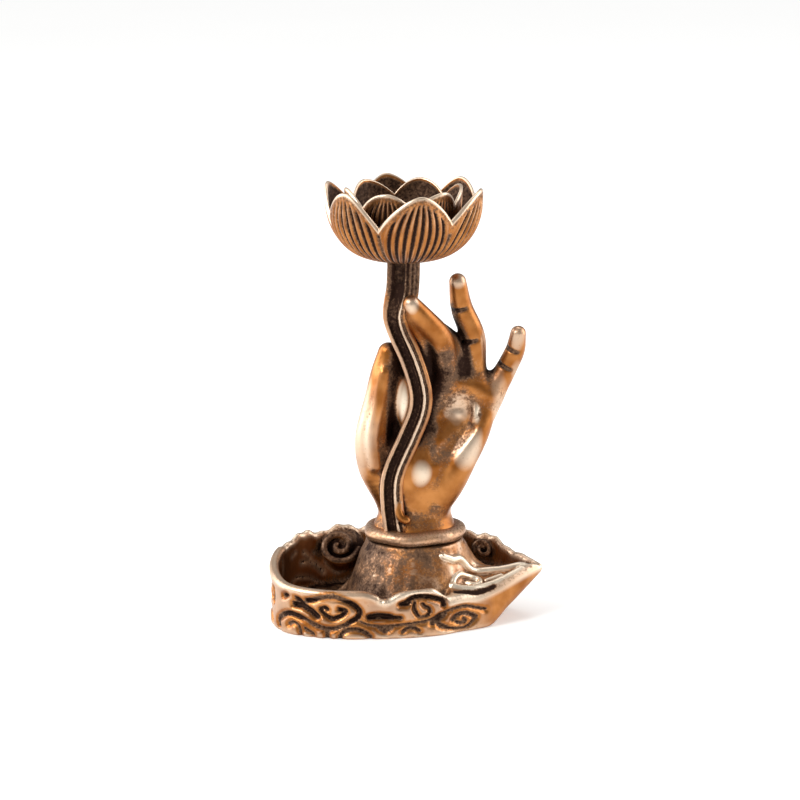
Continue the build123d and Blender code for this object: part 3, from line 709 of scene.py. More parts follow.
def petal_whorl(
    name, node, low, radius, height, wall, floor, turn, notches,
    foot, seat, hole, ribs, groove, point, cup, fine,
):
    """Bowl of petals: ribbed outside, each petal creased against the next, with a bare rounded rim.
    Notches are how far the rim dips between the petals, point shapes their tips, cup bulges their
    middles, and fine gives the columns to a petal and the rows of its outer and inner skins."""
    per_petal, skin_rows, inner_rows = fine
    t = np.linspace(-1, 1, per_petal, endpoint=False)
    local = np.tile(0.6 * t + 0.4 * np.sin(math.pi * t / 2), PETALS)[:, None]
    petal = np.repeat(np.arange(PETALS), per_petal)[:, None]
    angle = np.radians(turn) + (petal + local / 2) * 2 * math.pi / PETALS

    # section of the bowl, as shares of its height and width, and the way along it
    rise = np.linspace(0, math.pi / 2, 60)
    up = np.append(BOWL_SHARE * (1 - np.cos(rise)), np.linspace(BOWL_SHARE, 1, 12)[1:])
    out = np.append(np.sin(rise) ** 0.85, np.ones(11))
    steps = np.hypot(np.diff(out * (radius - foot)), np.diff(up * height))
    run = np.concatenate([[0], np.cumsum(steps)])
    run /= run[-1]

    # the rim, from the petals' tips down to the notches between them
    left, right = np.array(notches)[petal], np.roll(notches, -1)[petal]
    notch = left + (right - left) * smooth(local + 0.5)
    from_tip = np.abs(local - TIP_ASIDE) / np.where(local < TIP_ASIDE, 1 + TIP_ASIDE, 1 - TIP_ASIDE)
    blunt = 0.02
    least, most = blunt ** (point / 2), (1 + blunt) ** (point / 2)
    pointed = ((from_tip**2 + blunt) ** (point / 2) - least) / (most - least)
    rim_run = np.interp(1 - notch / height * pointed, up, run)
    lean = (1 - 2 * np.abs(local) ** 1.5) * cup

    def skin(share, near, far, bottom, sunk):
        """Radius and height of a skin, by the share of its way from the foot to the rim."""
        w = share * rim_run
        height_share = np.interp(w, run, up)
        r = near + (far - near) * np.interp(w, run, out)
        r = r * (1 + lean * height_share) - sunk
        return r, bottom + (height - bottom) * height_share

    # ribs that draw together towards the tip, and a crease against the next petal
    share = np.linspace(0, 1, skin_rows)[None, :] ** 0.9
    w = share * rim_run
    drawn_from, narrowest = 0.22, 0.12
    climb = np.clip((np.interp(w, run, up) - drawn_from) / (1 - drawn_from), 0, 1)
    half = np.maximum((1 - climb**2.2) ** 0.6, narrowest)
    u = (local - TIP_ASIDE * climb) / half
    beat = np.abs((u * (ribs + 1) / 2) % 1.0 - 0.5) * 2
    line = smooth((beat - 0.1) / 0.75) if ribs % 2 else smooth((0.9 - beat) / 0.75)
    below_rim = (rim_run - w) * (height + radius)
    fade = smooth((below_rim - 0.6) / 1.3) * smooth(w / 0.12) * smooth((1.02 - np.abs(u)) / 0.12)
    dark_line = line * fade
    crease = smooth((np.abs(local) - 0.9) / 0.1) * (1 - smooth((w - rim_run.min() * 0.98) / 0.02))

    # the outer skin, the rounded rim, the inner skin and the seat round the hole
    crease_depth = 0.22
    outer_r, outer_z = skin(share, foot, radius, 0.0, groove * dark_line + crease_depth * crease)
    inner_share = np.linspace(1, 0, inner_rows)[None, :] ** 0.8
    thinned = 0.5 * wall * smooth((inner_share - 0.45) / 0.55)
    inner_r, inner_z = skin(inner_share, seat, radius - wall, floor, -thinned)
    arc = np.linspace(0, math.pi, 7)[1:-1][None, :]
    mid_r, half_r = (outer_r[:, -1:] + inner_r[:, :1]) / 2, (outer_r[:, -1:] - inner_r[:, :1]) / 2
    rim_r = mid_r + half_r * np.cos(arc)
    rim_z = (outer_z[:, -1:] * (1 + np.cos(arc)) + inner_z[:, :1] * (1 - np.cos(arc))) / 2
    rim_z = rim_z + 0.3 * wall * np.sin(arc)
    ones = np.ones_like(outer_r[:, :1])
    under_r = np.hstack([ones * hole, ones * hole, ones * (hole + foot) / 2])
    under_z = np.hstack([ones * floor, ones * 0.0, ones * 0.0])
    r = np.hstack([outer_r, rim_r, inner_r, under_r])
    z = np.hstack([outer_z, rim_z, inner_z, under_z])
    points = np.stack([r * np.cos(angle), r * np.sin(angle), z], axis=-1).reshape(-1, 3)
    quads = closed_grid(*r.shape)

    # dark between the ribs and inside, pale on the rim and the ribs' crests
    under_rim = smooth((below_rim - 0.25) / 0.25) * smooth((1.5 - below_rim) / 0.9)
    outer_tone = 0.05 + 0.95 * smooth((dark_line - 0.4) / 0.55) + 0.6 * crease
    outer_tone = outer_tone + 0.35 * (1 - smooth(w / 0.3)) + 0.3 * under_rim
    inner_tone = 0.72 * smooth((1 - inner_share) / 0.03) * ones
    patina_and_shade = np.hstack([outer_tone, 0 * rim_r, inner_tone, 0.8 * np.ones_like(under_r)])
    crest = smooth((0.25 - line) / 0.25) * smooth((climb - 0.25) / 0.5) * fade
    outer_worn = 0.75 * smooth((0.3 - below_rim) / 0.25) + 0.2 * crest
    wear_and_highlight = np.hstack([outer_worn, 0 * rim_r + 0.7, 0 * inner_r, 0 * under_r])
    place = FLOWER_FOOT + (0, 0, low)
    casting(name, points + place, quads, patina_and_shade.ravel(), wear_and_highlight.ravel(), node)


def turned_ring(name, node, middle, section, patina_and_shade, wear_and_highlight, uneven):
    """A ring or pod formed on one axis: a closed section of radius and height, a little uneven as
    cast. Its dark share goes by height and its pale share by radius, each as places and values."""
    columns = 160
    angle = np.linspace(0, 2 * math.pi, columns, endpoint=False)[:, None]
    section = np.array(section)
    wave = np.sin(2 * angle + 0.6) + 0.7 * np.sin(3 * angle + 2.1) + 0.5 * np.sin(7 * angle + 1.0)
    r = section[None, :, 0] + uneven * wave
    z = section[None, :, 1] + 0.6 * uneven * np.sin(5 * angle + 0.4) + np.zeros_like(r)
    points = np.stack([r * np.cos(angle), r * np.sin(angle), z], axis=-1).reshape(-1, 3)
    quads = closed_grid(columns, len(section))
    tone = np.tile(np.interp(section[:, 1], *patina_and_shade), columns)
    rubbing_and_highlight = np.tile(np.interp(section[:, 0], *wear_and_highlight), columns)
    casting(name, points + middle, quads, tone, rubbing_and_highlight, node)


def flower():
    """The two whorls of petals and the seed pod with the stick's hole."""
    hole = 1.63
    petal_whorl(
        "outer_petals_cast", "outer_petals", 0.0, radius=11.0, height=10.3, wall=0.95, floor=1.2, turn=40.0,
        notches=(4.6, 5.0, 5.0, 5.3, 5.0, 4.1), foot=2.35, seat=4.15, hole=hole, ribs=8, groove=0.42,
        point=1.5, cup=0.045, fine=(96, 40, 22),
    )
    petal_whorl(
        "inner_petals_cast", "inner_petals", 1.2, radius=8.0, height=9.0, wall=0.85, floor=1.0, turn=70.0,
        notches=(2.4, 2.5, 2.3, 2.5, 2.4, 2.4), foot=3.95, seat=3.1, hole=hole, ribs=7, groove=0.28,
        point=1.8, cup=0.05, fine=(80, 32, 20),
    )
    top = pod_high[2] - FLOWER_FOOT[2]
    seat = 2.2
    bore, spigot, pod_radius = 1.2, 1.6, 2.9
    section = [
        (bore, top - 6.5), (spigot, top - 7.3), (spigot, seat), (pod_radius, seat),
        (pod_radius, top - 0.55), (2.8, top - 0.2), (2.5, top - 0.02), (2.0, top),
        (1.5, top - 0.03), (1.28, top - 0.16), (bore, top - 0.4),
    ]
    turned_ring(
        "seed_pod_cast", "stick_socket", FLOWER_FOOT, section,
        patina_and_shade=((seat, top - 1, top), (0.8, 0.55, 0.3)),
        wear_and_highlight=((bore, 2.4, 2.8, pod_radius), (0.0, 0.2, 0.6, 0.1)),
        uneven=0.0,
    )


def wrist_collar():
    """Soft round ring between the dish's mound and the wrist."""
    height = collar_high[2] - collar_low[2]
    bore, round_middle, round_half = 4.06, 6.1, 1.15
    section = [(bore, 0.0), (5.4, 0.0)]
    for turn in np.linspace(-80, 90, 15):
        lift = math.radians(turn)
        section.append((round_middle + round_half * math.cos(lift), height * (0.5 + 0.46 * math.sin(lift))))
    section += [(5.7, 0.97 * height), (5.2, 0.93 * height), (bore, 0.85 * height)]
    turned_ring(
        "wrist_collar_cast", "wrist_collar", HAND_FOOT - (0, 0, height), section,
        patina_and_shade=((0.0, 0.35, 0.9, 1.6, 2.1), (0.85, 0.4, 0.12, 0.2, 0.3)),
        wear_and_highlight=((5.8, 6.6, 7.3), (0.05, 0.35, 0.25)),
        uneven=0.14,
    )


# Ash dish, in its own frame: x to the pointed tip, y to the high back wall, z from the table

DISH_PLAN = [
    (19.75, 0.5), (14.6, -4.06), (10.27, -7.0), (3.95, -10.7), (-3.95, -12.3), (-12.05, -11.93),
    (-17.4, -9.1), (-19.75, -2.46), (-18.57, 3.45), (-14.0, 8.28), (-5.9, 11.15), (2.96, 11.5),
    (10.07, 8.74), (15.0, 4.95), (19.75, 0.5),
]
LEFT_END = 7  # the plan's point at the round end
PLAN_STEPS = 12  # steps along the outline from one of the plan's points to the next
# Chased lines between the scrolls on the wall, seen from the front: width, then x and height along the line
CHASED = [
    (0.42, [(-14.4, 5.3), (-13.3, 5.65), (-12.2, 6.05), (-10.7, 6.25), (-9.4, 5.95), (-8.3, 5.4), (-7.3, 4.7),
            (-6.8, 4.0), (-7.1, 3.2), (-8.0, 2.6), (-9.3, 1.85), (-10.7, 1.45), (-11.9, 1.45), (-13.3, 1.85),
            (-14.6, 2.5), (-15.8, 2.9), (-17.1, 3.0), (-18.0, 2.4), (-18.5, 1.6), (-18.4, 0.8)]),
    (0.65, [(-16.2, 4.5), (-15.1, 4.45), (-14.0, 3.95), (-12.9, 3.1)]),
    (0.4, [(-15.9, 5.5), (-15.4, 5.2), (-14.9, 4.7)]),
    (0.35, [(-19.2, 5.6), (-19.15, 4.6), (-19.2, 3.9)]),
    (0.25, [(-17.7, 5.4), (-17.2, 5.75)]),
    (0.3, [(-12.5, 4.25), (-12.2, 3.8), (-11.5, 3.3), (-10.7, 2.95), (-9.9, 3.2), (-9.0, 3.8), (-8.8, 4.05),
           (-9.8, 4.4)]),
    (0.25, [(-12.4, 4.3), (-11.7, 4.5), (-11.4, 4.2)]),
    (0.22, [(-17.0, 1.4), (-16.5, 1.8), (-15.8, 1.6), (-15.4, 1.0), (-15.3, 0.35)]),
    (0.3, [(-14.7, 1.15), (-14.2, 0.85), (-13.5, 0.45)]),
    (0.45, [(-11.6, 1.2), (-11.5, 0.2)]),
    (0.4, [(-9.7, 0.25), (-9.3, 0.85), (-8.6, 1.3), (-7.4, 1.4), (-6.3, 1.1), (-5.4, 0.35)]),
    (0.6, [(-5.5, 3.15), (-4.6, 3.3), (-3.6, 3.3), (-2.4, 3.1)]),
    (0.25, [(-2.4, 3.1), (-1.0, 2.95)]),
    (0.16, [(-6.7, 2.5), (-5.5, 2.0), (-4.4, 1.85), (-2.1, 1.85), (-0.1, 2.0), (1.8, 2.15), (2.7, 2.3),
            (3.9, 2.65), (5.0, 3.2), (6.6, 3.6), (8.3, 3.7), (9.7, 3.2), (11.1, 2.7)]),
    (0.55, [(-4.0, 1.6), (-3.3, 1.15), (-2.5, 1.6)]),
    (0.4, [(-1.0, 4.9), (-0.2, 5.2), (0.5, 5.75), (1.7, 5.95), (3.0, 5.8), (4.3, 5.4), (5.1, 5.0),
           (5.2, 4.3)]),
    (0.4, [(-0.4, 4.9), (0.3, 5.1)]),
    (0.14, [(2.1, 4.9), (2.5, 4.4), (3.0, 4.2), (3.2, 3.6), (2.6, 3.0), (1.7, 2.9)]),
    (0.14, [(1.0, 5.2), (0.9, 4.3), (1.2, 3.6), (1.6, 2.9)]),
    (0.5, [(3.4, 1.9), (4.2, 2.3), (5.2, 2.95)]),
    (0.45, [(4.2, 2.0), (4.6, 1.45), (5.5, 1.0)]),
    (0.4, [(6.4, 2.0), (6.9, 2.5), (7.7, 2.7), (8.9, 2.4), (9.7, 1.9)]),
    (0.25, [(6.9, 1.6), (7.6, 1.3), (8.3, 1.5), (8.0, 1.9)]),
    (0.2, [(4.6, 1.3), (5.7, 0.9), (7.4, 0.55), (8.6, 0.7), (9.3, 1.3), (9.8, 1.8)]),
    (0.3, [(-0.8, 0.9), (-0.2, 1.35), (0.7, 1.45), (1.6, 0.9)]),
]
# The same round the left end: width, then way round from the middle of that end and height
CHASED_END = [
    (0.4, [(-2.6, 0.9), (-1.7, 2.0), (-0.2, 2.4), (1.3, 1.9), (2.2, 0.8)]),
    (0.4, [(-2.2, 4.3), (-1.5, 5.6), (0.0, 6.2), (1.5, 5.7), (2.1, 4.5), (1.5, 3.5), (0.3, 3.3), (-0.6, 4.0),
           (-0.3, 4.8), (0.5, 4.7)]),
]
BACK_TALLER = 1.42  # the back wall has the same lines, taller as the wall is
GROUND = 0.75  # how deep the chased lines go
WALL = 1.15
# Raised lines on the low shelf at the right: x, y and radius along each
SHELF_CURL = [
    (6.5, -6.1, 0.34), (6.6, -5.6, 0.36), (7.2, -4.7, 0.38), (8.2, -3.7, 0.38), (9.3, -3.1, 0.38),
    (10.2, -3.3, 0.36), (10.4, -4.1, 0.36), (9.9, -4.7, 0.36), (9.1, -4.8, 0.34), (8.5, -4.5, 0.3),
]
LONG_BAND = [
    (6.4, -6.3, 0.4), (7.7, -6.2, 0.42), (9.4, -5.8, 0.42), (10.8, -5.0, 0.42), (12.4, -4.2, 0.4),
    (14.0, -3.2, 0.38), (15.4, -2.1, 0.36), (16.4, -1.2, 0.34),
]
SHORT_BAND = [(11.2, -3.6, 0.28), (12.4, -3.0, 0.3), (13.5, -2.5, 0.26)]
RIDGE_TO_TIP = [
    (5.0, -5.3, 0.45), (6.4, -4.5, 0.5), (8.2, -2.7, 0.55), (10.1, -1.6, 0.55), (11.8, -1.2, 0.55),
    (13.7, -1.0, 0.5), (15.3, -0.7, 0.5), (17.0, -0.1, 0.45), (18.3, 0.4, 0.4),
]
# The slit cut under the long band, given in the same way
SHELF_SLIT = [(6.9, -7.5, 0.3), (8.2, -7.1, 0.36), (9.8, -6.6, 0.36), (11.2, -5.8, 0.3), (12.3, -5.1, 0.25)]
# Folds from the mound down into the pool, with their radius
POOL_FOLDS = [
    [(-3.4, -5.6, 6.8, 0.6), (-4.4, -7.4, 4.2, 0.7), (-4.6, -9.2, 2.6, 0.5)],
    [(-6.6, 1.5, 5.2, 0.7), (-8.4, 2.2, 3.6, 0.7), (-10.6, 2.0, 2.6, 0.4)],
]
RIM_BEADS = [(-5.9, -12.0, 5.6), (-3.2, -11.9, 5.2)]
BEAD_HALF = (0.5, 0.55, 0.6)


def spiral(middle, right, up, start, end, first, turns, thick):
    """A curl in the plane of two directions, from a wide turn in to its eye."""
    middle, right, up = np.array(middle), np.array(right), np.array(up)
    line = []
    for t in np.linspace(0, 1, 40):
        lift = math.radians(first) + turns * 2 * math.pi * t
        reach = start + (end - start) * t
        place = middle + reach * (right * math.cos(lift) + up * math.sin(lift))
        line.append((*place, thick * (1 - 0.25 * t)))
    return np.array(line)


def dish_outline():
    """Points round the plan, and the way round to each from the middle of the left end."""
    plan = through(DISH_PLAN, PLAN_STEPS)
    run = np.concatenate([[0], np.cumsum(np.linalg.norm(np.diff(plan, axis=0), axis=1))])
    return plan, run - run[PLAN_STEPS * LEFT_END]


def to_outline(x, y, plan, run):
    """For each place in plan, how far it lies outside the outline and the way round to there."""
    steps = np.diff(plan, axis=0)
    lengths = np.linalg.norm(steps, axis=1)
    away = np.empty((x.size, y.size))
    along = np.empty_like(away)
    tall = y.ravel()[:, None]
    (x0, y0), (rx, ry) = plan[:-1].T, steps.T
    crosses = (y0 > tall) != (y0 + ry > tall)
    for i, u in enumerate(x.ravel()):
        dx, dy = u - x0, tall - y0
        t = np.clip((dx * rx + dy * ry) / lengths**2, 0, 1)
        gap = (dx - t * rx) ** 2 + (dy - t * ry) ** 2
        best = gap.argmin(axis=1)
        pick = np.arange(len(best)), best
        right_of = crosses & (u < x0 + dy / np.where(ry == 0, 1e-9, ry) * rx)
        away[i] = np.sqrt(gap[pick]) * np.where(right_of.sum(axis=1) % 2, -1, 1)
        along[i] = run[:-1][best] + t[pick] * lengths[best]
    return away, along


def dish_heights(px, py, away, along, grain):
    """Heights over the plan: the wall's edge, the bare inside and the inside as cast. The last
    result is 1 on the low shelf at the right front and 0 elsewhere."""
    front, back = -min(y for _, y in DISH_PLAN), max(y for _, y in DISH_PLAN)
    tip = max(x for x, _ in DISH_PLAN)

    # the wall's edge rises to the back, drops to the tip, dips at the front and waves behind
    front_height, back_rise, tip_drop, drop_starts = 7.0, 4.0, 1.4, 7.9
    dip_x, dip_half, dip_depth = -3.3, 1.8, 1.2
    wave_length, wave_height = 5.6, 0.4
    rim = front_height + back_rise * smooth((py + front) / (front + back))
    rim = rim - tip_drop * smooth((px - drop_starts) / (tip - drop_starts))
    rim = rim - dip_depth * np.exp(-(((px - dip_x) / dip_half) ** 2)) * (1 - smooth((py + front) / front))
    waves = wave_height * np.sin(2 * math.pi * px / wave_length) + 0.15 * np.sin(2.7 * along + 1.0)
    rim = rim + smooth((py - 1.0) / 5.0) * waves

    # at the right front it gives way to the shelf, which rises to the tip and slopes inwards
    shelf_height, shelf_rise, rise_starts, shelf_slope = 5.0, 2.6, 9.1, 0.36
    right_front = smooth((px - 3.2) / 3.0) * smooth((1.2 - py) / 1.6)
    low_rim = shelf_height + shelf_rise * smooth((px - rise_starts) / (tip - rise_starts))
    low_rim = low_rim + shelf_slope * np.maximum(-away, 0)
    rim = rim + (low_rim - rim) * right_front

    # the inside: a pool, the mound under the hand, a ridge from it to the tip and a step behind that
    pool_floor, mound_height, mound_radius, mound_slope, seat_height = 2.2, 8.9, 6.6, 2.6, 11.1
    ridge_drop, ridge_half, step_height = 5.3, 3.2, 3.8
    dx, dy = px - HAND_ON_DISH[0], py - HAND_ON_DISH[1]
    from_hand = np.hypot(dx, dy)
    from_top = np.maximum(np.hypot(dx, np.where(dy < 0, dy, 0.85 * dy)) - mound_radius, 0)
    mound = mound_height * np.exp(-((from_top / mound_slope) ** 2))
    ridge = (mound_height - ridge_drop * smooth(dx / 15.5)) * smooth(dx / mound_radius)
    ridge = ridge * np.exp(-(((py - 0.5) / ridge_half) ** 2))
    step = step_height * smooth((dx - 2.64) / mound_radius) * (1 - right_front)
    mound = mound * (1 - 0.3 * right_front * smooth((from_hand - 7.6) / 2.4))
    bare = np.minimum(seat_height, pool_floor + (mound**4 + ridge**4 + step**4) ** 0.25)
    bare = (bare**10 + (low_rim * right_front) ** 10) ** 0.1
    broad_lumps = lumps(away.shape, grain, size=2.2, seed=3)
    small_lumps = lumps(away.shape, grain, size=0.9, seed=4)
    uneven = 0.34 * broad_lumps + 0.2 * small_lumps
    floor = bare + smooth(from_hand - 7.0) * (1 - 0.7 * right_front) * uneven
    floor = floor + 0.5 * (1 - smooth((from_hand - 6.9) / 0.3))
    return rim, bare, floor, right_front


def scroll_relief(plan, run, along, z):
    """How far each place on the wall stands out, 0 in a chased line to 1 on a scroll. The lines are
    drawn on the wall unrolled, by the way round and height."""
    cell, wall_top, far = 0.1, 12.5, 2.0
    span = np.arange(run[0], run[-1], cell)
    rise = np.arange(0, wall_top, cell)
    gap = np.full((span.size, rise.size), far)
    front = slice(0, PLAN_STEPS * LEFT_END + 1)
    back = slice(PLAN_STEPS * LEFT_END, None)
    strokes = [(width, through(line)) for width, line in CHASED_END]
    for width, line in CHASED:
        seen = through(line)
        on_front = np.interp(seen[:, 0], plan[front, 0][::-1], run[front][::-1])
        on_back = np.interp(seen[:, 0], plan[back, 0], run[back])
        for place, taller in ((on_front, 1.0), (on_back, BACK_TALLER)):
            strokes.append((width, np.column_stack([place, seen[:, 1] * taller])))
    reach = 1.6
    for width, stroke in strokes:
        for p, q in zip(stroke, stroke[1:]):
            low, high = np.minimum(p, q) - reach, np.maximum(p, q) + reach
            si = slice(*np.searchsorted(span, (low[0], high[0])))
            zi = slice(*np.searchsorted(rise, (low[1], high[1])))
            a, b = span[si, None] - p[0], rise[None, zi] - p[1]
            way = q - p
            t = np.clip((a * way[0] + b * way[1]) / (way @ way + 1e-9), 0, 1)
            gap[si, zi] = np.minimum(gap[si, zi], np.hypot(a - t * way[0], b - t * way[1]) - width / 2)
    starts_inside, rounding = 0.12, 0.9
    climb = np.clip((gap + starts_inside) / rounding, 0, 1)
    stands = climb * (2 - climb)

    # back from the unrolled wall to the wax, between the drawing's own places
    si = np.clip((along - span[0]) / cell, 0, span.size - 1.01)
    zi = np.clip(z.ravel() / cell, 0, rise.size - 1.01)
    s0, z0 = si.astype(int), zi.astype(int)
    fs, fz = (si - s0)[:, :, None], (zi - z0)[None, None, :]
    relief = 0
    for i, k in itertools.product((0, 1), repeat=2):
        drawn = stands[:, z0 + k][s0 + i]
        relief = relief + (fs if i else 1 - fs) * (fz if k else 1 - fz) * drawn
    return relief


def rolled_rim(plan, rim, wax):
    """Line of the rounded lip round the pool, just inside the wall's edge."""
    radius, inset = 0.68, 0.55
    lip = plan[(plan[:, 0] < -4.5) & (plan[:, 1] < 3.0)]
    inward = np.array([-5.0, 0.0]) - lip
    lip = lip + inset * inward / np.linalg.norm(inward, axis=1, keepdims=True)
    return np.column_stack([lip, rim[wax.cell(lip)] - radius, np.full(len(lip), radius)])


def laid_on(floor, line, wax):
    """A line of x, y and radius, laid a little proud of the floor."""
    line = through(np.insert(line, 2, 0.0, axis=1))
    proud = 0.2
    line[:, 2] = eased(floor[wax.cell(line[:, :2])] + proud, times=6)
    return line


def ash_dish():
    """Cloud dish: scrolled wall, pool for ash on the left, mound under the hand and a shallow
    pointed end."""
    wax = Wax(low=(-20.3, -12.9, -0.4), high=(20.3, 12.1, 12.7), grain=0.205)
    x, y, z = wax.everywhere()
    plan, run = dish_outline()
    away, along = to_outline(x, y, plan, run)
    rim, bare, floor, right_front = dish_heights(x[:, :, 0], y[:, :, 0], away, along, wax.grain)
    relief = scroll_relief(plan, run, along, z)

    # the wall, cut out inside and down to its edge, then the floor with the mound
    from_wall = away[:, :, None]
    wax.depth = np.clip(from_wall + GROUND * (1 - relief), -wax.FAR, wax.FAR).astype(np.float32)
    wax.cut(np.broadcast_to(from_wall + WALL, wax.depth.shape), soft=0.7)
    wax.cut(0.9 * (rim[:, :, None] - z), soft=0.8)
    slope = np.hypot(*np.gradient(floor, wax.grain))
    over_floor = (z - floor[:, :, None]) / np.sqrt(1 + slope**2)[:, :, None]
    wax.add(np.clip(np.maximum(from_wall + 0.7, over_floor), -wax.FAR, wax.FAR), soft=0.9)
    wax.add(wax.strand(rolled_rim(plan, rim, wax)), soft=0.3)

    # curls on the inside of the back wall, the first on a swelling of it
    swelling = wax.pad((-10.0, 9.4, 7.6), half=(3.6, 1.9, 3.2))
    wax.add(np.maximum(swelling, from_wall + 0.8), soft=0.5)
    big_curl = spiral(
        (-10.0, 7.35, 8.5), right=(1, 0.12, 0), up=(0, 0.4, 0.8),
        start=2.95, end=0.45, first=-15, turns=-1.55, thick=0.58,
    )
    wax.add(wax.strand(big_curl), soft=0.2)
    small_curl = spiral(
        (11.0, 5.9, 8.4), right=(1, -0.5, 0), up=(0, 0.4, 0.92),
        start=1.3, end=0.35, first=200, turns=-1.4, thick=0.38,
    )
    wax.add(wax.strand(small_curl), soft=0.3)

    # raised lines and the slit on the shelf, folds in the pool, flat foot and beads on the rim
    bands = np.full_like(wax.depth, wax.FAR)
    for line in (SHELF_CURL, LONG_BAND, SHORT_BAND, RIDGE_TO_TIP):
        band = wax.strand(laid_on(bare, line, wax))
        bands = np.minimum(bands, band)
        wax.add(band, soft=0.2)
    slit = wax.strand(laid_on(bare, SHELF_SLIT, wax))
    wax.cut(slit, soft=0.25)
    for fold in POOL_FOLDS:
        wax.add(wax.strand(through(fold)), soft=0.9)
    wax.cut(z, soft=0.5)
    for bead in RIM_BEADS:
        wax.add(wax.pad(bead, BEAD_HALF), soft=0.2)

    # the tip overhangs the table on two slopes, and the screw comes up from below
    steep, level = math.atan(1.05), math.atan(0.82)
    lower = (12.2 - x) * math.sin(steep) + z * math.cos(steep)
    upper = (11.6 - x) * math.sin(level) + z * math.cos(level)
    wax.cut(np.maximum(lower, upper), soft=0.9)
    from_screw = np.hypot(x - HAND_ON_DISH[0], y - HAND_ON_DISH[1])
    for hole_radius, hole_top in ((3.1, 2.8), (1.65, 11.0)):
        wax.cut(np.maximum(from_screw - hole_radius, z - hole_top), soft=0.1)

    # dark in the chased lines, the pool and the slit, pale on the rim, the scrolls and the bands
    points, quads = wax.cast()
    outward = wax.outward(points)
    fine = wax.hollow(points, outward, reach=(0.3, 0.6, 1.0))
    broad = wax.hollow(points, outward, reach=(1.8, 3.0))
    edge = wax.ridge(points, outward, reach=(0.25, 0.5, 0.7))
    along_x, height = points[:, 0], points[:, 2]
    i, j, k = wax.cell(points)
    outside, stands = away[i, j], relief[i, j, k]
    within = smooth((-1.1 - outside) / 0.5) * smooth((outward[:, 2] + 0.6) / 0.8)
    ground = (1 - stands) * smooth((outside + 1.1) / 0.2)
    crests = smooth((stands - 0.7) / 0.3) * smooth((outside + 0.9) / 0.3) * smooth((13.0 - along_x) / 3.5)
    near_rim = smooth((height - rim[i, j] + 1.3) / 0.9) * smooth((outside + 1.7) / 0.3)
    in_pool = smooth((-2.0 - along_x) / 3.0)
    on_shelf = right_front[i, j] * smooth((-0.6 - outside) / 0.5)
    on_band = smooth((0.2 - wax.at(points, bands)) / 0.2)
    in_slit = smooth((0.25 - wax.at(points, slit)) / 0.2)
    mottled = 0.22 * lumps(wax.depth.shape, wax.grain, size=1.1, seed=5)[i, j, k]
    inside = (0.42 + 0.26 * in_pool + 1.2 * mottled) * within * (1 - 0.6 * on_shelf)
    patina_and_shade = 0.8 * fine + 0.2 * broad + inside - 0.1
    patina_and_shade = patina_and_shade + 0.75 * smooth((ground - 0.25) / 0.5) + 0.7 * in_slit - 0.6 * on_band
    wear_and_highlight = 1.3 * (edge - 0.2) * (1 - 0.5 * within) + 0.5 * near_rim - 1.2 * ground - fine
    wear_and_highlight = wear_and_highlight + 0.22 * crests + 0.3 * on_shelf + 0.6 * on_band - in_slit
    wear_and_highlight = wear_and_highlight + 0.5 * within * smooth(-4 * mottled)
    casting("ash_dish_cast", points + DISH_MIDDLE, quads, patina_and_shade, wear_and_highlight, "cloud_dish")


lotus_stalk()
raised_hand()
flower()
wrist_collar()
ash_dish()

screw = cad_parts["hand_screw"]
screw.data.materials.clear()
screw.data.materials.append(turned_steel())

# Floor, light and camera

LIT_MIDDLE = (0, 0, 30)  # what the lamps are turned to, in mm


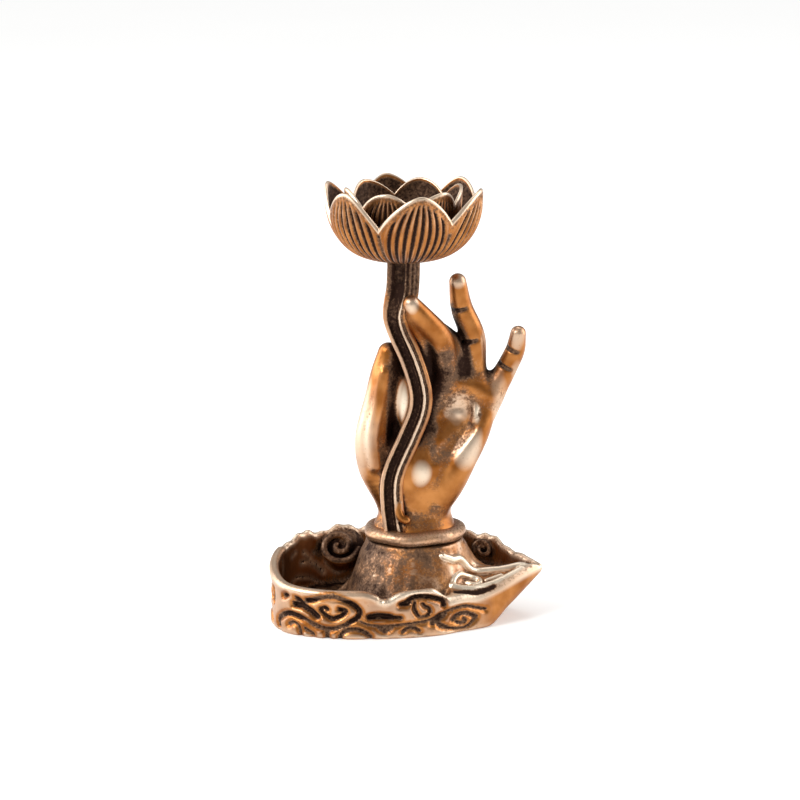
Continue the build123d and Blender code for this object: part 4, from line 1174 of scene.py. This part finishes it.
def pale_floor():
    """Smooth white studio board, lit by the lamps and a little by itself, which keeps the soft shadow."""
    material, tree = material_tree("white_studio_board")
    place = add_node(tree, "ShaderNodeTexCoord").outputs["Object"]
    # its faint clouds are 83 mm across
    mottle = add_node(
        tree, "ShaderNodeTexNoise", {"Vector": place, "Scale": 1000 / 83.3, "Detail": 2.0}
    ).outputs["Fac"]
    shade = add_node(tree, "ShaderNodeValToRGB", {"Fac": mottle})
    shade.color_ramp.elements[0].color = linear("#F6F6F5")
    shade.color_ramp.elements[1].color = linear("#F9F9F8")
    shader = add_node(
        tree,
        "ShaderNodeBsdfPrincipled",
        {
            "Base Color": shade.outputs["Color"],
            "Roughness": 0.9,
            "Emission Color": linear("#FFFFFF"),
            "Emission Strength": 0.23,
        },
    )
    add_node(tree, "ShaderNodeOutputMaterial", {"Surface": shader.outputs["BSDF"]})
    mesh = bpy.data.meshes.new("studio_floor")
    half = 4.0
    corners = [(-half, -half, 0), (half, -half, 0), (half, half, 0), (-half, half, 0)]
    mesh.from_pydata(corners, [], [(0, 1, 2, 3)])
    mesh.materials.append(material)
    floor = bpy.data.objects.new("studio_floor", mesh)
    bpy.context.scene.collection.objects.link(floor)


def aimed(thing, place, target):
    """Puts a lamp or the camera in the scene, turned from its place to a target, both in mm."""
    thing.location = Vector(place) * MM
    thing.rotation_euler = (Vector(target) - Vector(place)).to_track_quat("-Z", "Y").to_euler()
    bpy.context.scene.collection.objects.link(thing)


def softbox(name, place, width, height, brightness):
    """White area lamp of the given size in mm whose face is so many times as bright as white paper."""
    lamp = bpy.data.lights.new(name, "AREA")
    lamp.shape = "RECTANGLE"
    lamp.size, lamp.size_y = width * MM, height * MM
    lamp.energy = brightness * math.pi * lamp.size * lamp.size_y
    aimed(bpy.data.objects.new(name, lamp), place, LIT_MIDDLE)


pale_floor()
sun = bpy.data.lights.new("window_left", "SUN")
sun.energy = 2.1
sun.angle = math.radians(32)
aimed(bpy.data.objects.new("window_left", sun), place=(-420, -300, 420), target=LIT_MIDDLE)
softbox("panel_right", (380, 50, 180), width=330, height=380, brightness=2.9)
softbox("panel_left", (-360, 90, 170), width=300, height=380, brightness=3.2)
softbox("top", (30, 140, 560), width=300, height=220, brightness=2.5)

world = bpy.data.worlds.new("studio")
bpy.context.scene.world = world
world.use_nodes = True
world.node_tree.nodes.clear()
room = add_node(world.node_tree, "ShaderNodeBackground", {"Color": linear("#FFFFFF"), "Strength": 0.38})
add_node(world.node_tree, "ShaderNodeOutputWorld", {"Surface": room.outputs[0]})

# the photograph looks down by about 12.5 degrees, from about half a metre
camera = bpy.data.cameras.new("photo_camera")
camera.sensor_width = 36
camera.lens = 154.35
camera_object = bpy.data.objects.new("photo_camera", camera)
aimed(camera_object, place=(-1.1, -476.9, 138.05), target=(-1.1, 1.45, 32.0))
bpy.context.scene.camera = camera_object
bpy.context.scene.view_settings.view_transform = "Standard"
